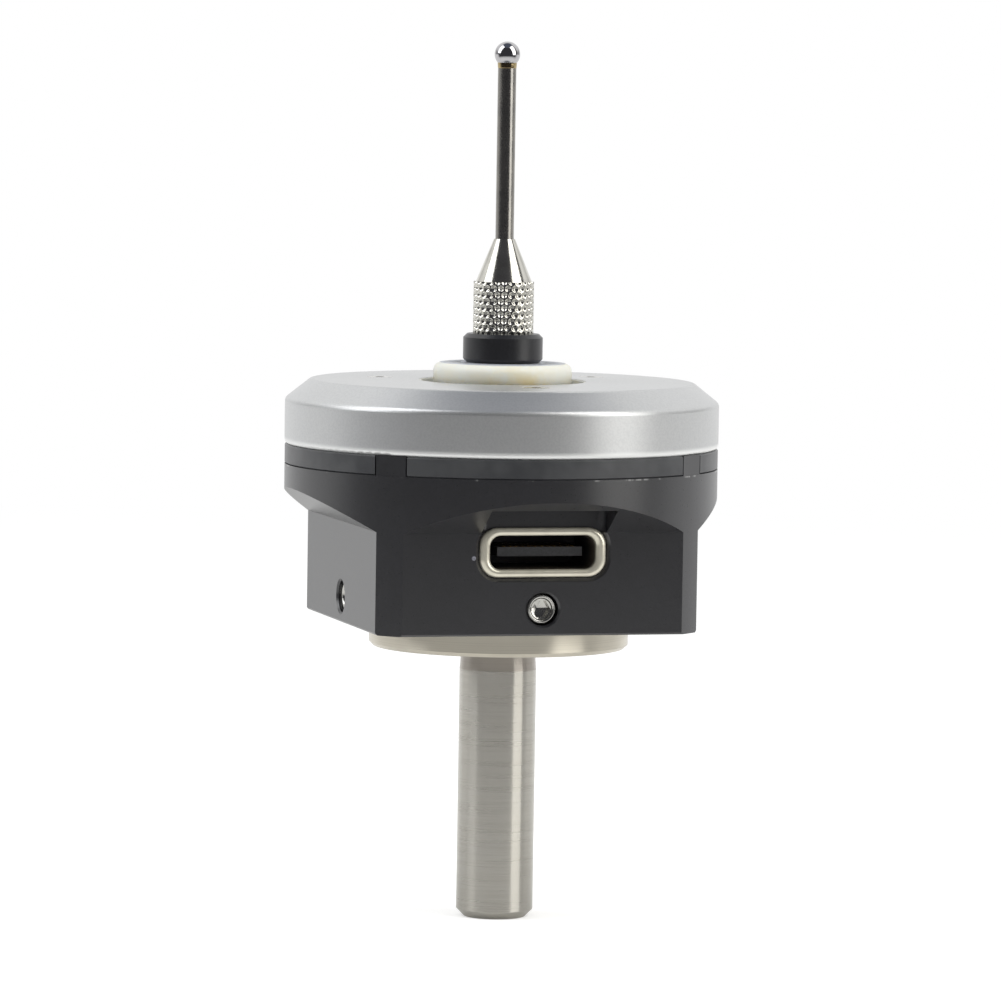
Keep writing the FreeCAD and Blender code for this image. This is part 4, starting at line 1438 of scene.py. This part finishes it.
@dataclass
class Socket:
    """Metal shell, plastic tongue and its gold contacts."""

    contacts: int = 12
    pitch: float = 0.5
    strip: tuple[float, float, float] = (0.25, 3.4, 0.04)
    strip_edge: float = 0.008
    inset: float = 0.35
    mouth: tuple[float, float, float] = (8.34, 2.56, 0.85)
    shell: tuple[float, float, float] = (8.94, 3.2, 1.17)
    lip: tuple[float, float, float] = (9.95, 3.8, 1.4)
    lip_thick: float = 0.5
    roundness: float = 0.27
    mouth_rings: tuple[float, ...] = (6.15, 2.0, 0.52, 0.32)
    mouth_deep: float = 6.2
    back_share: float = 0.995
    closing: float = 0.02
    lip_steps: int = 12
    steps: int = 10
    sharp: float = 50.0

    def build(self) -> None:
        """Make the shell, dress the tongue and add the contacts."""
        dress(TONGUE, "port_tongue")
        self.lipped_shell()
        self.gold()

    def lipped_shell(self) -> None:
        """The drawn shell, its lip rounded from the opening to its outer edge."""
        low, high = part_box("port_shell")
        middle = (low + high) / 2
        face, back = low.y / MM, high.y / MM
        sizes = (self.mouth, self.lip, self.shell)
        inner, outer, body = (rounded_outline(*size, self.steps) for size in sizes)
        outlines = [([p * self.closing for p in inner], self.mouth_deep)]
        outlines.append(([p * self.back_share for p in inner], self.mouth_deep))
        outlines += [(inner, depth) for depth in self.mouth_rings]
        for k in range(self.lip_steps + 1):
            swing = math.pi * k / self.lip_steps
            share = (1 - math.cos(swing)) / 2
            points = [a.lerp(b, share) for a, b in zip(inner, outer)]
            outlines.append((points, self.roundness * (1 - math.sin(swing))))
        outlines += [(outer, self.lip_thick), (body, self.lip_thick), (body, back - face)]
        outlines.append(([p * self.closing for p in body], back - face))
        rings = [
            [Vector((p.x * MM + middle.x, (face + depth) * MM, p.y * MM + middle.z)) for p in points]
            for points, depth in outlines
        ]
        mesh = bmesh.new()
        skin(mesh, rings)
        piece = finished("port_shell_lipped", mesh, PORT_METAL)
        piece.data.set_sharp_from_angle(angle=math.radians(self.sharp))
        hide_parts("port_shell")
        seat(piece, Body.PROBE, Slot.PORT_METAL)

    def gold(self) -> None:
        """Two rows of contact strips, above and below the tongue."""
        low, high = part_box("port_tongue")
        mesh = bmesh.new()
        wide, long, thick = (size * MM for size in self.strip)
        front = low.y + self.inset * MM + long / 2
        for level in (low.z - thick / 4, high.z + thick / 4):
            for k in range(self.contacts):
                x = (k - (self.contacts - 1) / 2) * self.pitch * MM
                spot = Vector((x, front, level))
                block(mesh, spot, (wide, long, thick), self.strip_edge * MM)
        seat(finished("port_contacts", mesh, GOLD), Body.PROBE, Slot.BRASS)


# ---------------------------------------------------------------- studio


def direction(azimuth: float, elevation: float) -> Vector:
    """The way from the object to something that stands round it.

    Args:
        azimuth: degrees from the front, to the right.
        elevation: degrees above the horizon.

    Returns:
        The unit vector.
    """
    turned, raised = math.radians(azimuth), math.radians(elevation)
    level = math.cos(raised)
    return Vector((math.sin(turned) * level, -math.cos(turned) * level, math.sin(raised)))


@dataclass
class Softbox:
    """One soft light."""

    name: str
    azimuth: float
    elevation: float
    distance: float
    wide: float
    high: float
    power: float
    colour: tuple[float, float, float]

    def hang(self, aim: Vector) -> None:
        """Put it round the object, facing it.

        Args:
            aim: what it faces, in metres.
        """
        away = direction(self.azimuth, self.elevation)
        data = bpy.data.lights.new(self.name, "AREA")
        data.shape = "RECTANGLE"
        data.size, data.size_y = self.wide, self.high
        data.energy = self.power
        data.color = self.colour
        lamp = put(self.name, data)
        lamp.location = aim + away * self.distance
        lamp.rotation_mode = "QUATERNION"
        lamp.rotation_quaternion = (-away).to_track_quat("-Z", "Y")


@dataclass
class Studio:
    """Floor, light and camera."""

    boxes: tuple[Softbox, ...] = (
        Softbox("right_box", 50.0, 32.0, 0.65, 0.4, 0.9, 3.2, (1.0, 0.99, 0.96)),
        Softbox("left_box", -95.0, 38.0, 0.65, 0.36, 0.7, 2.3, (0.98, 0.99, 1.0)),
    )
    yaw: float = -15.29
    pitch: float = 4.02
    roll: float = 0.89
    distance: float = 0.5005
    focus_z: float = 0.0340
    aim_z: float = 0.03253
    lens: float = 231.2
    sensor: float = 36.0
    clip: Span = (0.05, 20.0)
    floor_reach: float = 3.0
    floor_steps: int = 96
    floor_tones: tuple[Colour, Colour] = (paint(236, 236, 235), paint(240, 240, 240))
    floor_glow: float = 0.35
    fade_seen: Span = (90.0, 420.0)
    fade_mirrored: Span = (70.0, 260.0)
    turn_mirrored: Span = (-0.3, 0.2)
    front_shade: Colour = paint(66, 66, 70)
    backdrop: Colour = paint(178, 178, 178)
    overhead: Colour = paint(96, 102, 116)
    soft: Colour = (0.62, 0.62, 0.62, 1.0)
    behind_from: Span = (0.08, 0.24)
    overhead_from: Span = (0.8, 0.93)
    white_behind: Span = (0.55, 0.85)
    white_above: Span = (0.15, 0.45)

    def build(self) -> None:
        """Set up the whole studio."""
        self.camera()
        self.floor()
        self.world()
        for box in self.boxes:
            box.hang(Vector((0, 0, self.focus_z)))

    def camera(self) -> None:
        """A long lens a little above the height of the housing."""
        data = bpy.data.cameras.new("camera")
        data.lens = self.lens
        data.sensor_width = self.sensor
        data.clip_start, data.clip_end = self.clip
        eye = put("camera", data)
        away = direction(self.yaw, self.pitch)
        eye.location = Vector((0, 0, self.focus_z)) + away * self.distance
        look = (Vector((0, 0, self.aim_z)) - eye.location).to_track_quat("-Z", "Y")
        tilt = Matrix.Rotation(math.radians(self.roll), 3, "Z").to_quaternion()
        eye.rotation_mode = "QUATERNION"
        eye.rotation_quaternion = look @ tilt
        bpy.context.scene.camera = eye

    def behind(self, x: Signal, y: Signal) -> Signal:
        """How far a level place or direction lies to the back of the studio."""
        back = math.radians(-self.yaw)
        return x * math.sin(back) + y * math.cos(back)

    def floor(self) -> None:
        """A round floor under the object."""
        mesh = bmesh.new()
        bmesh.ops.create_circle(
            mesh, cap_ends=True, segments=self.floor_steps, radius=self.floor_reach,
        )
        data = bpy.data.meshes.new("floor")
        mesh.to_mesh(data)
        mesh.free()
        made = bpy.data.materials.new("floor")
        made.use_nodes = True
        self.floor_finish(Bench(made.node_tree))
        data.materials.append(made)
        put("floor", data)

    def floor_finish(self, bench: Bench) -> None:
        """Pale matte paper that keeps the shadow and fades into a white background.

        Metal mirrors the far floor as dark in front of the object and white behind it.

        Args:
            bench: the floor material's node tree.
        """
        spot = bench.place()
        x, y, _ = bench.axes(spot)
        away = bench.radius(x, y)
        grain = bench.noise(spot, 0.02, detail=2.0)
        seen = bench.node("LightPath", output="Is Camera Ray")
        open_ray = seen.over(seen.part("Is Glossy Ray")).over(seen.part("Is Transmission Ray"))
        paper = bench.blend(grain, *self.floor_tones)
        matte = bench.node("BsdfDiffuse", None, {"Color": paper})
        glow = bench.node("Emission", None, {"Color": WHITE, "Strength": self.floor_glow})
        lit = bench.node("AddShader", None, {0: matte, 1: glow})
        near = bench.node("MixShader", None, {0: seen, 1: matte, 2: lit})
        white = bench.node("Emission", None, {"Color": WHITE, "Strength": 1.0})
        far = seen * bench.step(away, *self.fade_seen)
        plain = bench.node("MixShader", None, {0: far, 1: near, 2: white})
        back = bench.step(self.behind(x, y) / away, *self.turn_mirrored)
        shade = bench.blend(back, self.front_shade, WHITE)
        dim = bench.node("Emission", None, {"Color": shade, "Strength": 1.0})
        mirrored = (1.0 - seen) * open_ray * bench.step(away, *self.fade_mirrored)
        whole = bench.node("MixShader", None, {0: mirrored, 1: plain, 2: dim})
        bench.node("OutputMaterial", None, {"Surface": whole})

    def world(self) -> None:
        """White background; plain soft light, and a room for metal to mirror."""
        world = bpy.data.worlds.new("studio")
        world.use_nodes = True
        bpy.context.scene.world = world
        bench = Bench(world.node_tree)
        x, y, z = bench.axes(bench.node("TexCoord", output="Generated"))
        behind = self.behind(x, y)
        straight = bench.step(behind, *self.white_behind).over(bench.step(z, *self.white_above))
        backdrop = bench.blend(straight, self.backdrop, WHITE)
        room = bench.blend(bench.step(behind, *self.behind_from), self.front_shade, backdrop)
        room = bench.blend(bench.step(z, *self.overhead_from), room, self.overhead)
        ray = bench.node("LightPath", output="Is Camera Ray")
        mirrored = ray.part("Is Glossy Ray").over(ray.part("Is Transmission Ray"))
        colour = bench.blend(ray, bench.blend(mirrored, self.soft, room), WHITE)
        lit = bench.node("Background", None, {"Color": colour, "Strength": 1.0})
        bench.node("OutputWorld", None, {"Surface": lit})


def main() -> None:
    """Build every sub-assembly in order, then the studio."""
    logging.basicConfig(level=logging.INFO, format="%(message)s")
    bpy.context.scene.view_settings.view_transform = "Standard"
    for part in (Shank(), Housing(), LightRing(), Cover(), Carrier(), Electronics(), Socket(), Stylus()):
        log.info("building %s", type(part).__name__)
        part.build()
    Studio().build()


if __name__ == "__main__":
    main()
